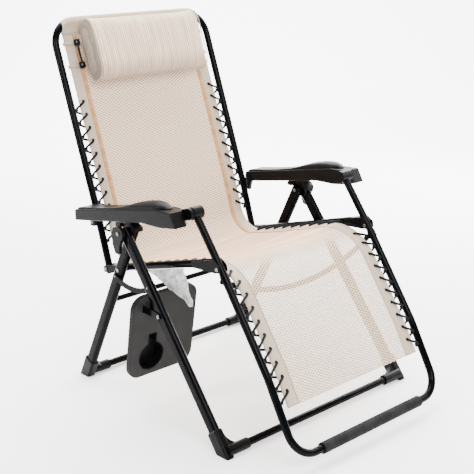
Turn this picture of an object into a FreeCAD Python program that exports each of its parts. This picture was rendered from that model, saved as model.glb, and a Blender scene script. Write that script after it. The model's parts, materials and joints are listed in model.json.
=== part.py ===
import FreeCAD, Part
import math
import os

# Reclining lounge chair with a laced sling on a folding A-frame.
# Millimetres. +Z up, the sitter faces -Y, "left" is the sitter's left (+X).
# The origin is on the floor, in the middle of the chair's box.

DIMENSIONS = [
    # Side-plane points of the linkage, as Y and Z pairs.
    ("hub_y", 99, "A-frame hinge"),
    ("hub_z", 537, "A-frame hinge"),
    ("front_end_y", -307, "lower end of the front leg's axis"),
    ("rear_end_y", 356, "lower end of the rear leg's axis"),
    ("leg_end_z", 18, "lower end of both legs' axes"),
    ("front_bar_y", -327, "front floor bar"),
    ("floor_bar_z", 16, "both floor bars"),
    ("back_pivot_y", 271, "hinge between back frame and seat rail"),
    ("back_pivot_z", 372, "hinge between back frame and seat rail"),
    ("back_bend_y", 325, "bend in the back frame"),
    ("back_bend_z", 540, "bend in the back frame"),
    ("back_top_y", 528, "top bar"),
    ("back_top_z", 1085, "top bar"),
    ("rail_front_y", -222, "where the rail's axis meets the leg frame"),
    ("rail_front_z", 513, "where the rail's axis meets the leg frame"),
    ("leg_pivot_y", -233, "hinge between leg frame and seat rail"),
    ("leg_pivot_z", 497, "hinge between leg frame and seat rail"),
    ("knuckle_y", -131, "front hinge of the armrest"),
    ("knuckle_z", 630, "front hinge of the armrest"),
    ("leg_bend_y", -414, "bend in the leg frame"),
    ("leg_bend_z", 240, "bend in the leg frame"),
    ("foot_bar_y", -525, "foot bar"),
    ("foot_bar_z", 46, "foot bar"),
    ("arm_pin_y", 316, "rear hinge of the armrest"),
    ("arm_pin_z", 512, "rear hinge of the armrest"),
    ("seat_pin_y", 166, "hinge between seat rail and rear leg"),
    ("seat_pin_z", 402, "hinge between seat rail and rear leg"),
    # Layers, measured from the middle of the chair.
    ("tube_x", 300, "round frame tubes"),
    ("rear_leg_x", 335, "rear legs"),
    ("front_leg_x", 365, "front legs"),
    ("armrest_x", 348, "armrests"),
    # Sections.
    ("tube_radius", 11, "round frame tube"),
    ("tube_wall", 1.2, "wall of every tube"),
    ("oval_width", 38, "leg tube, seen from the side"),
    ("oval_depth", 22, "leg tube, seen from the front"),
    ("top_bend", 78, "bend radius at the top corners"),
    ("foot_bend", 70, "bend radius at the foot bar's corners"),
    ("soft_bend", 300, "bend radius of the slight bends"),
    ("brace_radius", 8, "cross brace"),
    ("brace_z", 290, "cross brace"),
    ("knee_brace_down", 96, "middle of the knee brace from the leg hinge, down the leg"),
    ("knee_brace_behind", 62, "middle of the knee brace behind the leg frame"),
    ("sleeve_low", 20, "knee brace's sleeves from the leg hinge"),
    ("sleeve_high", 42, "knee brace's sleeves from the leg hinge"),
    ("sleeve_wall", 1.5, "knee brace's sleeves"),
    ("pin_radius", 4, "hinge pins"),
    ("running_gap", 0.05, "radial clearance round every pin"),
    ("head_radius", 5.6, "pin heads"),
    ("head_depth", 2.5, "pin heads"),
    ("ear_depth", 2.5, "bracket ears"),
    ("ear_gap", 0.4, "between an ear and the tube it holds"),
    ("ear_corner", 4, "corner radius of the ears"),
    ("weld_bite", 2, "how far a welded tube enters another"),
    ("bush_radius", 9, "bushes on the seat pins"),
    ("foot_cover", 16, "leg tube's end above the end of its axis"),
    ("leg_over", 9, "leg tube above the hub's axis"),
    ("stay_reach", 174, "middle of the stay from the hub"),
    ("stay_half", 8, "half width of the stay"),
    ("stay_depth", 3, "stay"),
    ("stay_x", 350, "stay, between the rear and front legs"),
    ("stay_pin_radius", 3, "rivets at the stay"),
    ("stay_play", 0.3, "play of the rivet in the stay's slot"),
    ("stay_pin_proud", 0.5, "sliding pin past the stay's inner face"),
    ("fold_travel", 15, "degrees that the front legs fold"),
    ("floor_bar_end", 345, "half length of the floor bars"),
    ("foot_wall", 2.5, "foot, before and behind the leg"),
    ("foot_outside", 14, "foot's outer side from the middle of the leg"),
    ("foot_inside", 13.5, "foot's inner side from the middle of the leg"),
    ("foot_rise", 52, "foot, up the leg"),
    ("foot_corner", 7, "edge radius of the feet"),
    ("foot_sleeve_lift", 0.5, "sleeves above the floor"),
    ("foot_sleeve_reach", 75, "feet's sleeves on the floor bar, inward from the leg"),
    ("gusset_radius", 44, "hollow web between a foot's two sockets"),
    ("gusset_depth", 18, "hollow web between a foot's two sockets"),
    ("hub_cheek", 7, "hub between the legs"),
    ("hub_slider", 28, "hub's slider in the armrest"),
    ("hub_corner", 5, "upper edges of the slider"),
    ("lever_x", 386, "lock levers"),
    ("lever_depth", 10, "lock levers"),
    ("lever_spacer", 9, "radius of the lever's boss beside the front leg"),
    ("lever_boss", 21, "lock lever round its bolt"),
    ("lever_corner", 4, "lower edges of the lever's paddle"),
    ("back_tube_end", 16, "back tube below its hinge"),
    ("rail_rear_gap", 32, "rail's rear end from the back hinge"),
    ("rail_front_gap", 62, "rail's front end from the leg frame"),
    # Armrests.
    ("armrest_width", 64, "armrest"),
    ("nose_chamfer", 24, "slanted inner corner of the armrest's nose"),
    ("nose_y", -125, "rear end of the armrest's nose"),
    ("armrest_round", 3, "edge radius of the armrest"),
    ("arm_ear_depth", 10, "ears inside the armrest"),
    ("arm_ear_radius", 16, "round ear at the armrest's nose"),
    ("armrest_slot", 46, "hollow under the armrest"),
    ("pad_width", 54, "armrest pad"),
    ("knuckle_inner", 281, "round end of the leg frame"),
    ("knuckle_outer", 314, "round end of the leg frame"),
    ("knuckle_stub_end", 326, "outer end of the knuckle's pin"),
    ("knuckle_stub_radius", 5, "knuckle's pin"),
    ("arm_pin_end", 327, "outer end of the armrest's rear pin"),
    ("knuckle_radius", 18, "round end of the leg frame"),
    ("knuckle_hole", 8.5, "opening that takes the knuckle pin with play"),
    # Slings.
    ("sling_half", 268, "half width of the slings"),
    ("sling_depth", 3, "slings"),
    ("sling_top_gap", 32, "back sling below the top bar's axis"),
    ("back_sling_gap", 70, "back sling above the back hinge, along the frame"),
    ("seat_sling_gap", 62, "seat sling in front of the back hinge"),
    ("seat_sag", 26, "sag of the seat sling"),
    ("seat_rear_drop", 6, "seat sling's rear end below the rail's axis"),
    ("seat_front_gap", 20, "seat sling's front end behind the leg frame"),
    ("seat_front_drop", 4, "seat sling's front end below the rail's axis"),
    ("leg_sling_gap", 64, "leg sling below the leg hinge"),
    ("leg_sling_low", 160, "lower edge of the leg sling"),
    ("lace_radius", 2.2, "elastic lace"),
    ("lace_pitch", 40.5, "spacing of the eyelets"),
    ("eyelet_radius", 6, "eyelet rings"),
    ("eyelet_hole", 3, "eyelet rings"),
    ("eyelet_depth", 1, "eyelet rings"),
    ("eyelet_lift", 0.2, "eyelet rings above the sling"),
    ("eyelet_inset", 16, "eyelets from the sling's edge"),
    ("hem_half", 220, "half length of the sling's hem"),
    ("hem_radius", 13, "hem round the top bar"),
    ("foam_half", 205, "half length of the foam sleeve"),
    ("foam_radius", 16, "foam sleeve round the foot bar"),
    # Pillow.
    ("pillow_length", 434, "pillow"),
    ("pillow_rise", 200, "pillow, along the back"),
    ("pillow_depth", 86, "pillow"),
    ("pillow_down", 104, "middle of the pillow below the top bar, along the back"),
    ("pillow_gap", 3, "between the pillow and the sling"),
    ("clip_width", 14, "pillow clips, from the end panel"),
    ("clip_depth", 9, "pillow clips"),
    ("clip_height", 16, "pillow clips"),
    ("clip_front", 10, "pillow clips' front behind the pillow's middle"),
    ("clip_corner", 2, "pillow clips"),
    ("strap_rise", 42, "straps above and below the pillow's middle"),
    ("strap_depth", 2, "elastic straps"),
    ("strap_height", 10, "elastic straps"),
    ("strap_front", 13, "straps' front behind the pillow's middle"),
    ("strap_clearance", 4, "straps from the sling"),
    # Tray.
    ("tray_x", -296, "middle of the tray"),
    ("tray_y", 30, "middle of the tray"),
    ("tray_z", 241.5, "middle of the tray"),
    ("tray_width", 234, "tray"),
    ("tray_rise", 264, "tray"),
    ("tray_depth", 14, "tray"),
    ("tray_corner", 40, "tray corner radius"),
    ("tray_lean", 8.8, "tray's lean, degrees"),
    ("cup_radius", 44, "cup well"),
    ("cup_x", -38, "cup well from the middle of the tray"),
    ("cup_z", -71, "cup well from the middle of the tray"),
    ("cup_well", 26, "cup well behind the tray"),
    ("cup_wall", 2.5, "wall of the cup well"),
    ("cup_slot", 36, "slot for a mug's handle above the well"),
    ("cup_slot_half", 14, "half width of the slot"),
    ("cup_slot_overlap", 6, "how far the slot starts inside the well's edge"),
    ("bracket_depth", 2.5, "tray bracket plates"),
    ("bracket_gap", 1, "between a bracket plate and the leg"),
    ("bracket_half", 8, "half width of a bracket plate at the bolt"),
    ("bracket_low", 84, "bracket plate on the tray's face, from its middle"),
    ("bracket_high", 108, "bracket plate on the tray's face, from its middle"),
    ("tray_bolt_y", -62, "bolt that the tray hangs on"),
    ("tray_bolt_z", 331, "bolt that the tray hangs on"),
    ("tray_bolt_head", 5.4, "heads of the tray's bolt"),
    ("tag_depth", 0.8, "hang tag"),
]

SIDES = (("left", 1), ("right", -1))
OVER = 1  # how far a cutting shape passes the surface it cuts

doc = FreeCAD.newDocument("recliner")
sheet = doc.addObject("Spreadsheet::Sheet", "Dimensions")
for row, (alias, value, note) in enumerate(DIMENSIONS, start=1):
    sheet.set("A%d" % row, note)
    sheet.set("B%d" % row, str(value))
    sheet.setAlias("B%d" % row, alias)
doc.recompute()

nodes = []


def size(alias):
    return float(sheet.get(alias))


def point(x, name):
    return FreeCAD.Vector(x, size(name + "_y"), size(name + "_z"))


def publish(thing, label):
    thing.Label = label
    nodes.append(thing)
    return thing


def feature(label, shape):
    """A sub-part whose shape is made with Part's own functions."""
    thing = doc.addObject("Part::Feature", label)
    thing.Shape = shape
    return publish(thing, label)


def group(label, shapes):
    return feature(label, Part.makeCompound(shapes))


def rod(start, end, radius):
    axis = end - start
    return Part.makeCylinder(radius, axis.Length, start, axis)


def ring(start, end, outer, inner):
    return rod(start, end, outer).cut(rod(start, end, inner))


def shift_x(place, x):
    return FreeCAD.Vector(x, place.y, place.z)


def bent_wire(points, bends):
    """Straight runs through the points, joined by tangent arcs."""
    edges = []
    start = points[0]
    for before, corner, after, radius in zip(points, points[1:], points[2:], bends):
        back = (before - corner).normalize()
        ahead = (after - corner).normalize()
        turn = math.pi - back.getAngle(ahead)
        reach = radius * math.tan(turn / 2)
        entry = corner + back * reach
        leave = corner + ahead * reach
        middle_way = (back + ahead).normalize()
        middle = corner + middle_way * (radius / math.cos(turn / 2) - radius)
        edges.append(Part.LineSegment(start, entry).toShape())
        edges.append(Part.Arc(entry, middle, leave).toShape())
        start = leave
    edges.append(Part.LineSegment(start, points[-1]).toShape())
    return Part.Wire(edges)


def pipe(wire, radius):
    first = wire.Edges[0]
    start = first.valueAt(first.FirstParameter)
    ahead = first.tangentAt(first.FirstParameter)
    circle = Part.Wire(Part.makeCircle(radius, start, ahead))
    return wire.makePipeShell([circle], True, True)


def bent_tube(points, bends, radius):
    wire = bent_wire(points, bends)
    return pipe(wire, radius).cut(pipe(wire, radius - size("tube_wall")))


def origin_plane(body, role):
    for item in body.Origin.OriginFeatures:
        if item.Role == role:
            return item
    raise ValueError(role)


def new_sketch(body, name, role, offset=0):
    sketch = body.newObject("Sketcher::SketchObject", name)
    sketch.AttachmentSupport = (origin_plane(body, role), "")
    sketch.MapMode = "FlatFace"
    sketch.AttachmentOffset = FreeCAD.Placement(FreeCAD.Vector(0, 0, offset), FreeCAD.Rotation())
    return sketch


def draw_outline(sketch, corners):
    """A closed outline of straight lines through the corners."""
    count = len(corners)
    for index in range(count):
        here = FreeCAD.Vector(corners[index][0], corners[index][1], 0)
        there = FreeCAD.Vector(corners[(index + 1) % count][0], corners[(index + 1) % count][1], 0)
        sketch.addGeometry(Part.LineSegment(here, there), False)


def draw_circle(sketch, centre, radius):
    place = FreeCAD.Vector(centre[0], centre[1], 0)
    sketch.addGeometry(Part.Circle(place, FreeCAD.Vector(0, 0, 1), radius), False)


def extrude(body, kind, name, sketch, length, middle=True, reverse=False):
    """A Pad or a Pocket whose length is an expression."""
    solid = body.newObject("PartDesign::" + kind, name)
    solid.Profile = sketch
    solid.setExpression("Length", length)
    solid.SideType = "Symmetric" if middle else "One side"
    solid.Reversed = reverse
    doc.recompute()
    return solid


def round_edges(body, name, base, wanted, radius):
    """Round the edges of a body's last feature that wanted() picks out."""
    picked = ["Edge%d" % (i + 1) for i, edge in enumerate(base.Shape.Edges) if wanted(edge)]
    fillet = body.newObject("PartDesign::Fillet", name)
    fillet.Base = (base, picked)
    fillet.Radius = radius
    doc.recompute()
    return fillet


def along_x(edge):
    ends = [vertex.Point for vertex in edge.Vertexes]
    return len(ends) == 2 and abs(ends[0].y - ends[1].y) + abs(ends[0].z - ends[1].z) < 0.01


# --- A-frame -------------------------------------------------------------

def oval_sketch(body, name, inset):
    """A flat oval: two half circles joined by straight sides."""
    sketch = new_sketch(body, name, "XY_Plane")
    radius = size("oval_depth") / 2 - inset
    high = FreeCAD.Vector(0, (size("oval_width") - size("oval_depth")) / 2, 0)
    out = FreeCAD.Vector(radius, 0, 0)
    normal = FreeCAD.Vector(0, 0, 1)
    sketch.addGeometry(Part.ArcOfCircle(Part.Circle(high, normal, radius), 0, math.pi), False)
    sketch.addGeometry(Part.LineSegment(high - out, out * -1 - high), False)
    sketch.addGeometry(Part.ArcOfCircle(Part.Circle(high * -1, normal, radius), math.pi, 2 * math.pi), False)
    sketch.addGeometry(Part.LineSegment(out - high, out + high), False)
    return sketch


def leg_end(side, layer, lower):
    return FreeCAD.Vector(side * size(layer), size(lower + "_y"), size("leg_end_z"))


def leg_way(lower):
    return (point(0, "hub") - FreeCAD.Vector(0, size(lower + "_y"), size("leg_end_z"))).normalize()


def oval_leg(label, layer, side, lower, holes):
    """A hollow flat oval tube from its foot to just above the hub, with pin holes."""
    body = doc.addObject("PartDesign::Body", label)
    low = leg_end(side, layer, lower)
    way = leg_way(lower)
    turn = FreeCAD.Rotation(FreeCAD.Vector(0, 0, 1), way)
    body.Placement = FreeCAD.Placement(low + way * size("foot_cover"), turn)
    span = "sqrt((Dimensions.hub_y - Dimensions.%s_y)^2" % lower
    span += " + (Dimensions.hub_z - Dimensions.leg_end_z)^2) - Dimensions.foot_cover + Dimensions.leg_over"
    extrude(body, "Pad", label + "_tube", oval_sketch(body, label + "_outside", 0), span, False)
    inside = oval_sketch(body, label + "_inside", size("tube_wall"))
    extrude(body, "Pocket", label + "_hollow", inside, span, False, True)
    drilled = new_sketch(body, label + "_pin_places", "YZ_Plane")
    for centre, radius in holes:
        local = body.Placement.inverse().multVec(shift_x(centre, low.x))
        draw_circle(drilled, (local.y, local.z), radius)
    extrude(body, "Pocket", label + "_pin_holes", drilled, "Dimensions.oval_depth * 2")
    return publish(body, label)


def leg_envelope(leg):
    """The leg's outside, without its hollow, to cut its seat out of a moulding."""
    solid = doc.getObject(leg.Name + "_tube").Shape.copy()
    solid.Placement = leg.Placement
    return solid


def polar(radius, degrees):
    """A side-plane point at a distance and angle from the hub."""
    angle = math.radians(degrees)
    return point(0, "hub") + FreeCAD.Vector(0, radius * math.cos(angle), radius * math.sin(angle))


def leg_angle(lower):
    way = leg_way(lower) * -1
    return math.degrees(math.atan2(way.z, way.y))


pin_hole = size("pin_radius") + size("running_gap")
stay_rear = polar(size("stay_reach"), leg_angle("rear_end"))
stay_front = polar(size("stay_reach"), leg_angle("front_end"))
hub = point(0, "hub")
seat_pin = point(0, "seat_pin")
tray_bolt = point(0, "tray_bolt")
X_WAY = FreeCAD.Vector(1, 0, 0)


def across(centre, x_from, x_to, radius):
    """A round bar parallel to X between two layers."""
    return rod(shift_x(centre, x_from), shift_x(centre, x_to), radius)


def bolt(centre, side, x_from, x_to, radius, head):
    """A shank between two layers with a head on both ends."""
    shank = across(centre, side * x_from, side * x_to, radius)
    inner = across(centre, side * (x_from - size("head_depth")), side * x_from, head)
    outer = across(centre, side * x_to, side * (x_to + size("head_depth")), head)
    return shank.fuse([inner, outer]).removeSplitter()


def gusset(side, bar_height, bar_offset):
    """The web between a foot's sockets, hollowed by an arc. Local Z runs up the leg, X across."""
    radius = size("gusset_radius")
    near = size("foot_inside")
    far = near + radius
    low = bar_height + size("tube_radius")
    high = low + radius
    half_turn = radius * (1 - math.sqrt(0.5))

    def place(inward, height):
        return FreeCAD.Vector(-side * inward, bar_offset - size("gusset_depth") / 2, height)
    arc = Part.Arc(place(far, low), place(near + half_turn, low + half_turn), place(near, high))
    corners = [place(near, high), place(0, high), place(0, bar_height), place(far, bar_height), place(far, low)]
    edges = [arc.toShape()]
    edges += [Part.LineSegment(here, there).toShape() for here, there in zip(corners, corners[1:])]
    return Part.Face(Part.Wire(edges)).extrude(FreeCAD.Vector(0, size("gusset_depth"), 0))


def foot(label, side, layer, lower, leg, bar_y):
    """A moulded corner that joins a leg to its floor bar and stands on the floor."""
    low = leg_end(side, layer, lower)
    placing = FreeCAD.Placement(low, FreeCAD.Rotation(FreeCAD.Vector(0, 0, 1), leg_way(lower)))
    wide = size("foot_outside") + size("foot_inside")
    deep = size("oval_width") + 2 * size("foot_wall")
    below = size("oval_width")
    start_x = -size("foot_inside") if side > 0 else -size("foot_outside")
    boot = Part.makeBox(wide, deep, below + size("foot_rise"), FreeCAD.Vector(start_x, -deep / 2, -below))
    boot = boot.makeFillet(size("foot_corner"), boot.Edges)
    bar = FreeCAD.Vector(0, bar_y, size("floor_bar_z"))
    bar_place = placing.inverse().multVec(shift_x(bar, low.x))
    web = gusset(side, bar_place.z, bar_place.y / 2)
    for moulded in (boot, web):
        moulded.Placement = placing
    sleeve_end = size(layer) - size("foot_sleeve_reach")
    sleeve = across(bar, side * sleeve_end, low.x, size("floor_bar_z") - size("foot_sleeve_lift"))
    whole = boot.fuse([sleeve, web])
    room = 4 * deep
    floor = Part.makeBox(2 * room, 2 * room, room, FreeCAD.Vector(low.x - room, low.y - room, -room))
    inside = across(bar, side * (sleeve_end - OVER), side * size("floor_bar_end"), size("tube_radius"))
    shape = whole.cut([floor, leg_envelope(leg), inside]).removeSplitter()
    solids = sorted(shape.Solids, key=lambda solid: solid.Volume)
    return feature(label, solids[-1])


def floor_bar(label, y):
    """A straight round tube across the floor."""
    tube = []
    for name, radius in (("outside", "Dimensions.tube_radius"),
                         ("inside", "Dimensions.tube_radius - Dimensions.tube_wall")):
        part = doc.addObject("Part::Cylinder", label + "_" + name)
        part.setExpression("Radius", radius)
        part.setExpression("Height", "Dimensions.floor_bar_end * 2")
        part.Placement = FreeCAD.Placement(FreeCAD.Vector(-size("floor_bar_end"), y, size("floor_bar_z")),
                                           FreeCAD.Rotation(FreeCAD.Vector(0, 1, 0), 90))
        tube.append(part)
    bar = doc.addObject("Part::Cut", label)
    bar.Base, bar.Tool = tube
    doc.recompute()
    return publish(bar, label)


def leg_stay(label, side):
    """A curved flat bar on the rear leg; the front leg's rivet slides in its slot."""
    x_low = side * size("stay_x") - size("stay_depth") / 2
    start = leg_angle("rear_end")
    stop = leg_angle("front_end")
    if stop > start:
        stop -= 360
    reach = size("stay_reach")
    half = size("stay_half")

    def band(from_angle, to_angle, half_width):
        corners = [polar(reach - half_width, from_angle), polar(reach + half_width, from_angle),
                   polar(reach + half_width, (from_angle + to_angle) / 2),
                   polar(reach + half_width, to_angle), polar(reach - half_width, to_angle),
                   polar(reach - half_width, (from_angle + to_angle) / 2)]
        centre = [polar(reach, from_angle), polar(reach, to_angle)]
        outer = Part.Arc(corners[1], corners[2], corners[3]).toShape()
        inner = Part.Arc(corners[4], corners[5], corners[0]).toShape()
        edges = [Part.LineSegment(corners[0], corners[1]).toShape(), outer,
                 Part.LineSegment(corners[3], corners[4]).toShape(), inner]
        face = Part.Face(Part.Wire(edges))
        face.translate(X_WAY * x_low)
        solid = face.extrude(X_WAY * size("stay_depth"))
        ends = [across(end, x_low, x_low + size("stay_depth"), half_width) for end in centre]
        return solid.fuse(ends).removeSplitter()

    blank = band(start, stop, half)
    slot = band(stop, stop + size("fold_travel"), size("stay_pin_radius") + size("stay_play"))
    rivet = across(stay_rear, x_low, x_low + size("stay_depth"), size("stay_pin_radius"))
    return feature(label, blank.cut([slot, rivet]).removeSplitter())


# Outlines round the hub's axis, as Y and Z.
HUB_CHEEK = [(-24, -22), (24, -22), (26, 26), (-26, 26)]
HUB_SLIDER = [(-46, 8), (-28, 8), (-22, 24), (22, 24), (28, 8), (46, 8),
              (46, 19), (27, 28), (20, 44), (-20, 44), (-27, 28), (-46, 19)]
LEVER_PADDLE = [(-16, 13), (4, 20), (22, 14), (30, -6), (26, -36), (15, -60), (-3, -61), (-6, -34), (-14, -15)]


def hub_block(label, side):
    """The hinge block: a cheek between the legs and a slider that runs in the armrest."""
    body = doc.addObject("PartDesign::Body", label)
    middle = side * (size("rear_leg_x") + size("front_leg_x")) / 2
    body.Placement = FreeCAD.Placement(FreeCAD.Vector(middle, hub.y, hub.z), FreeCAD.Rotation())
    cheek = new_sketch(body, label + "_cheek_outline", "YZ_Plane")
    draw_outline(cheek, HUB_CHEEK)
    extrude(body, "Pad", label + "_cheek", cheek, "Dimensions.hub_cheek")
    slider = new_sketch(body, label + "_slider_outline", "YZ_Plane")
    draw_outline(slider, HUB_SLIDER)
    pad = extrude(body, "Pad", label + "_slider", slider, "Dimensions.hub_slider")
    top = max(height for _, height in HUB_SLIDER)
    round_edges(body, label + "_rounding", pad, lambda edge: along_x(edge) and edge.BoundBox.ZMin > top - 1,
                size("hub_corner"))
    hole = new_sketch(body, label + "_bolt_place", "YZ_Plane")
    draw_circle(hole, (0, 0), pin_hole)
    extrude(body, "Pocket", label + "_bolt_hole", hole, "Dimensions.hub_slider * 2")
    return publish(body, label)


def lock_lever(label, side):
    """A cam lever on the outside of the hub, with a paddle for the fingers."""
    body = doc.addObject("PartDesign::Body", label)
    place = FreeCAD.Vector(side * size("lever_x"), hub.y, hub.z)
    body.Placement = FreeCAD.Placement(place, FreeCAD.Rotation())
    boss = new_sketch(body, label + "_boss_outline", "YZ_Plane")
    draw_circle(boss, (0, 0), size("lever_boss"))
    extrude(body, "Pad", label + "_boss", boss, "Dimensions.lever_depth")
    paddle = new_sketch(body, label + "_paddle_outline", "YZ_Plane")
    draw_outline(paddle, LEVER_PADDLE)
    pad = extrude(body, "Pad", label + "_paddle", paddle, "Dimensions.lever_depth")
    tip = min(height for _, height in LEVER_PADDLE) / 2
    round_edges(body, label + "_rounding", pad, lambda edge: along_x(edge) and edge.BoundBox.ZMax < tip,
                size("lever_corner"))
    inner_face = size("lever_x") - size("lever_depth") / 2
    leg_face = size("front_leg_x") + size("oval_depth") / 2 + size("ear_gap")
    spacer = new_sketch(body, label + "_spacer_outline", "YZ_Plane",
                        side * ((inner_face + leg_face) / 2 - size("lever_x")))
    draw_circle(spacer, (0, 0), size("lever_spacer"))
    extrude(body, "Pad", label + "_spacer", spacer,
            "Dimensions.lever_x - Dimensions.lever_depth / 2 - Dimensions.front_leg_x"
            " - Dimensions.oval_depth / 2 - Dimensions.ear_gap")
    hole = new_sketch(body, label + "_bolt_place", "YZ_Plane")
    draw_circle(hole, (0, 0), pin_hole)
    extrude(body, "Pocket", label + "_bolt_hole", hole, "Dimensions.lever_depth * 4")
    return publish(body, label)


stay_hole = size("stay_pin_radius") + size("running_gap")
for name, side in SIDES:
    rear = oval_leg("rear_leg_" + name, "rear_leg_x", side, "rear_end",
                    [(hub, pin_hole), (seat_pin, pin_hole), (stay_rear, stay_hole)])
    front = oval_leg("front_leg_" + name, "front_leg_x", side, "front_end",
                     [(hub, pin_hole), (stay_front, stay_hole)]
                     + ([(tray_bolt, pin_hole)] if name == "right" else []))
    foot("rear_foot_" + name, side, "rear_leg_x", "rear_end", rear, size("rear_end_y"))
    foot("front_foot_" + name, side, "front_leg_x", "front_end", front, size("front_bar_y"))
    leg_stay("leg_stay_" + name, side)
    hub_block("hub_" + name, side)
    lock_lever("lock_lever_" + name, side)
floor_bar("rear_floor_bar", size("rear_end_y"))
floor_bar("front_floor_bar", size("front_bar_y"))

brace_y = size("hub_y") - (size("hub_z") - size("brace_z")) * leg_way("rear_end").y / leg_way("rear_end").z
brace_end = size("rear_leg_x") - size("oval_depth") / 2
brace_place = FreeCAD.Vector(0, brace_y, size("brace_z"))
feature("rear_cross_brace", ring(shift_x(brace_place, -brace_end), shift_x(brace_place, brace_end),
                                 size("brace_radius"), size("brace_radius") - size("tube_wall")))
lever_outer = size("lever_x") + size("lever_depth") / 2
rear_leg_inner = size("rear_leg_x") - size("oval_depth") / 2
leg_outer = size("front_leg_x") + size("oval_depth") / 2
group("hub_bolts", [bolt(hub, side, rear_leg_inner, lever_outer, size("pin_radius"), size("head_radius"))
                    for _, side in SIDES])
stay_low = size("stay_x") - size("stay_depth") / 2
stay_high = size("stay_x") + size("stay_depth") / 2
group("stay_rivets", [across(stay_rear, side * rear_leg_inner, side * stay_high, size("stay_pin_radius"))
                      for _, side in SIDES])
stay_pin_low = stay_low - size("stay_pin_proud")
group("stay_pins", [across(stay_front, side * stay_pin_low, side * leg_outer, size("stay_pin_radius"))
                    for _, side in SIDES])


# --- Seat, back and leg rest ----------------------------------------------

back_pivot = point(0, "back_pivot")
back_bend = point(0, "back_bend")
back_top = point(0, "back_top")
rail_front = point(0, "rail_front")
leg_pivot = point(0, "leg_pivot")
knuckle = point(0, "knuckle")
leg_bend = point(0, "leg_bend")
foot_bar = point(0, "foot_bar")
arm_pin = point(0, "arm_pin")
tube_x = size("tube_x")
tube_radius = size("tube_radius")
rail_way = (rail_front - back_pivot).normalize()
rail_up = FreeCAD.Vector(0, rail_way.z, -rail_way.y)


def side_tube_holes(shape, centres):
    """Drill both side tubes of a frame for its hinge pins."""
    for centre in centres:
        shape = shape.cut(across(centre, -tube_x - 2 * tube_radius, tube_x + 2 * tube_radius, pin_hole))
    return shape


def u_frame(label, run, corner, holes, top_bend):
    """A U-shaped tube: one side from its free end to the crossbar, and back."""
    one_side = [shift_x(place, -tube_x) for place in run + [corner]]
    other_side = [shift_x(place, tube_x) for place in [corner] + run[::-1]]
    soft = size("soft_bend")
    bends = [soft] * (len(run) - 1) + [top_bend, top_bend] + [soft] * (len(run) - 1)
    return feature(label, side_tube_holes(bent_tube(one_side + other_side, bends, tube_radius), holes))


back_way_low = (back_bend - back_pivot).normalize()
back_low = back_pivot - back_way_low * size("back_tube_end")
u_frame("back_frame", [back_low, back_bend], back_top, [back_pivot, arm_pin], size("top_bend"))
leg_top_way = (knuckle - leg_pivot).normalize()
leg_top = knuckle - leg_top_way * size("knuckle_radius")
u_frame("leg_frame", [leg_top, leg_pivot, leg_bend], foot_bar, [leg_pivot], size("foot_bend"))

rail_start = back_pivot + rail_way * size("rail_rear_gap")
rail_stop = rail_front - rail_way * size("rail_front_gap")
for name, side in SIDES:
    rail = ring(shift_x(rail_start, side * tube_x), shift_x(rail_stop, side * tube_x),
                tube_radius, tube_radius - size("tube_wall"))
    drill = across(seat_pin, side * (tube_x - 2 * tube_radius), side * (tube_x + 2 * tube_radius), pin_hole)
    rail = rail.cut(drill)
    feature("seat_rail_" + name, rail)

inner_ear = tube_x - tube_radius - size("ear_gap") - size("ear_depth")
outer_ear = tube_x + tube_radius + size("ear_gap")


def ear(outline, pivot, x_low):
    """A bracket plate with a rounded outline round its pin hole."""
    face = Part.Face(Part.makePolygon([shift_x(place, x_low) for place in outline + outline[:1]]))
    plate = face.extrude(X_WAY * size("ear_depth"))
    edges = [edge for edge in plate.Edges if along_x(edge)]
    plate = plate.makeFillet(size("ear_corner"), edges)
    return plate.cut(across(pivot, x_low - OVER, x_low + size("ear_depth") + OVER, pin_hole))


def ears(label, outline, pivot):
    """Two bracket plates on each rail. The outline runs along and up from the hinge."""
    corners = [pivot + rail_way * along + rail_up * up for along, up in outline]
    places = []
    for _, side in SIDES:
        for layer in (inner_ear, outer_ear):
            places.append(layer if side > 0 else -layer - size("ear_depth"))
    return group(label, [ear(corners, pivot, place) for place in places])


# Outlines of the brackets, as distances along the rail (forward) and up from the hinge.
BACK_BRACKET = [(70, 9), (6, 12), (-12, 8), (-12, -9), (8, -12), (70, -9)]
LEG_BRACKET = [(-104, 27), (-6, 27), (11, 8), (10, -10), (-11, -10), (-104, 10)]
ears("back_pivot_brackets", BACK_BRACKET, back_pivot)
ears("leg_pivot_brackets", LEG_BRACKET, leg_pivot)


def hinge_pins(label, centre):
    pin_low = inner_ear
    pin_high = outer_ear + size("ear_depth")
    return group(label, [bolt(centre, side, pin_low, pin_high, size("pin_radius"), size("head_radius"))
                         for _, side in SIDES])


hinge_pins("back_pivot_pins", back_pivot)
hinge_pins("leg_pivot_pins", leg_pivot)
rear_leg_outer = size("rear_leg_x") + size("oval_depth") / 2
group("seat_pivot_pins", [bolt(seat_pin, side, tube_x - tube_radius, rear_leg_outer, size("pin_radius"),
                               size("head_radius")) for _, side in SIDES])
group("seat_bushes", [ring(shift_x(seat_pin, side * (tube_x + tube_radius)),
                           shift_x(seat_pin, side * (rear_leg_inner - size("ear_gap"))),
                           size("bush_radius"), pin_hole)
                      for _, side in SIDES])


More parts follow.
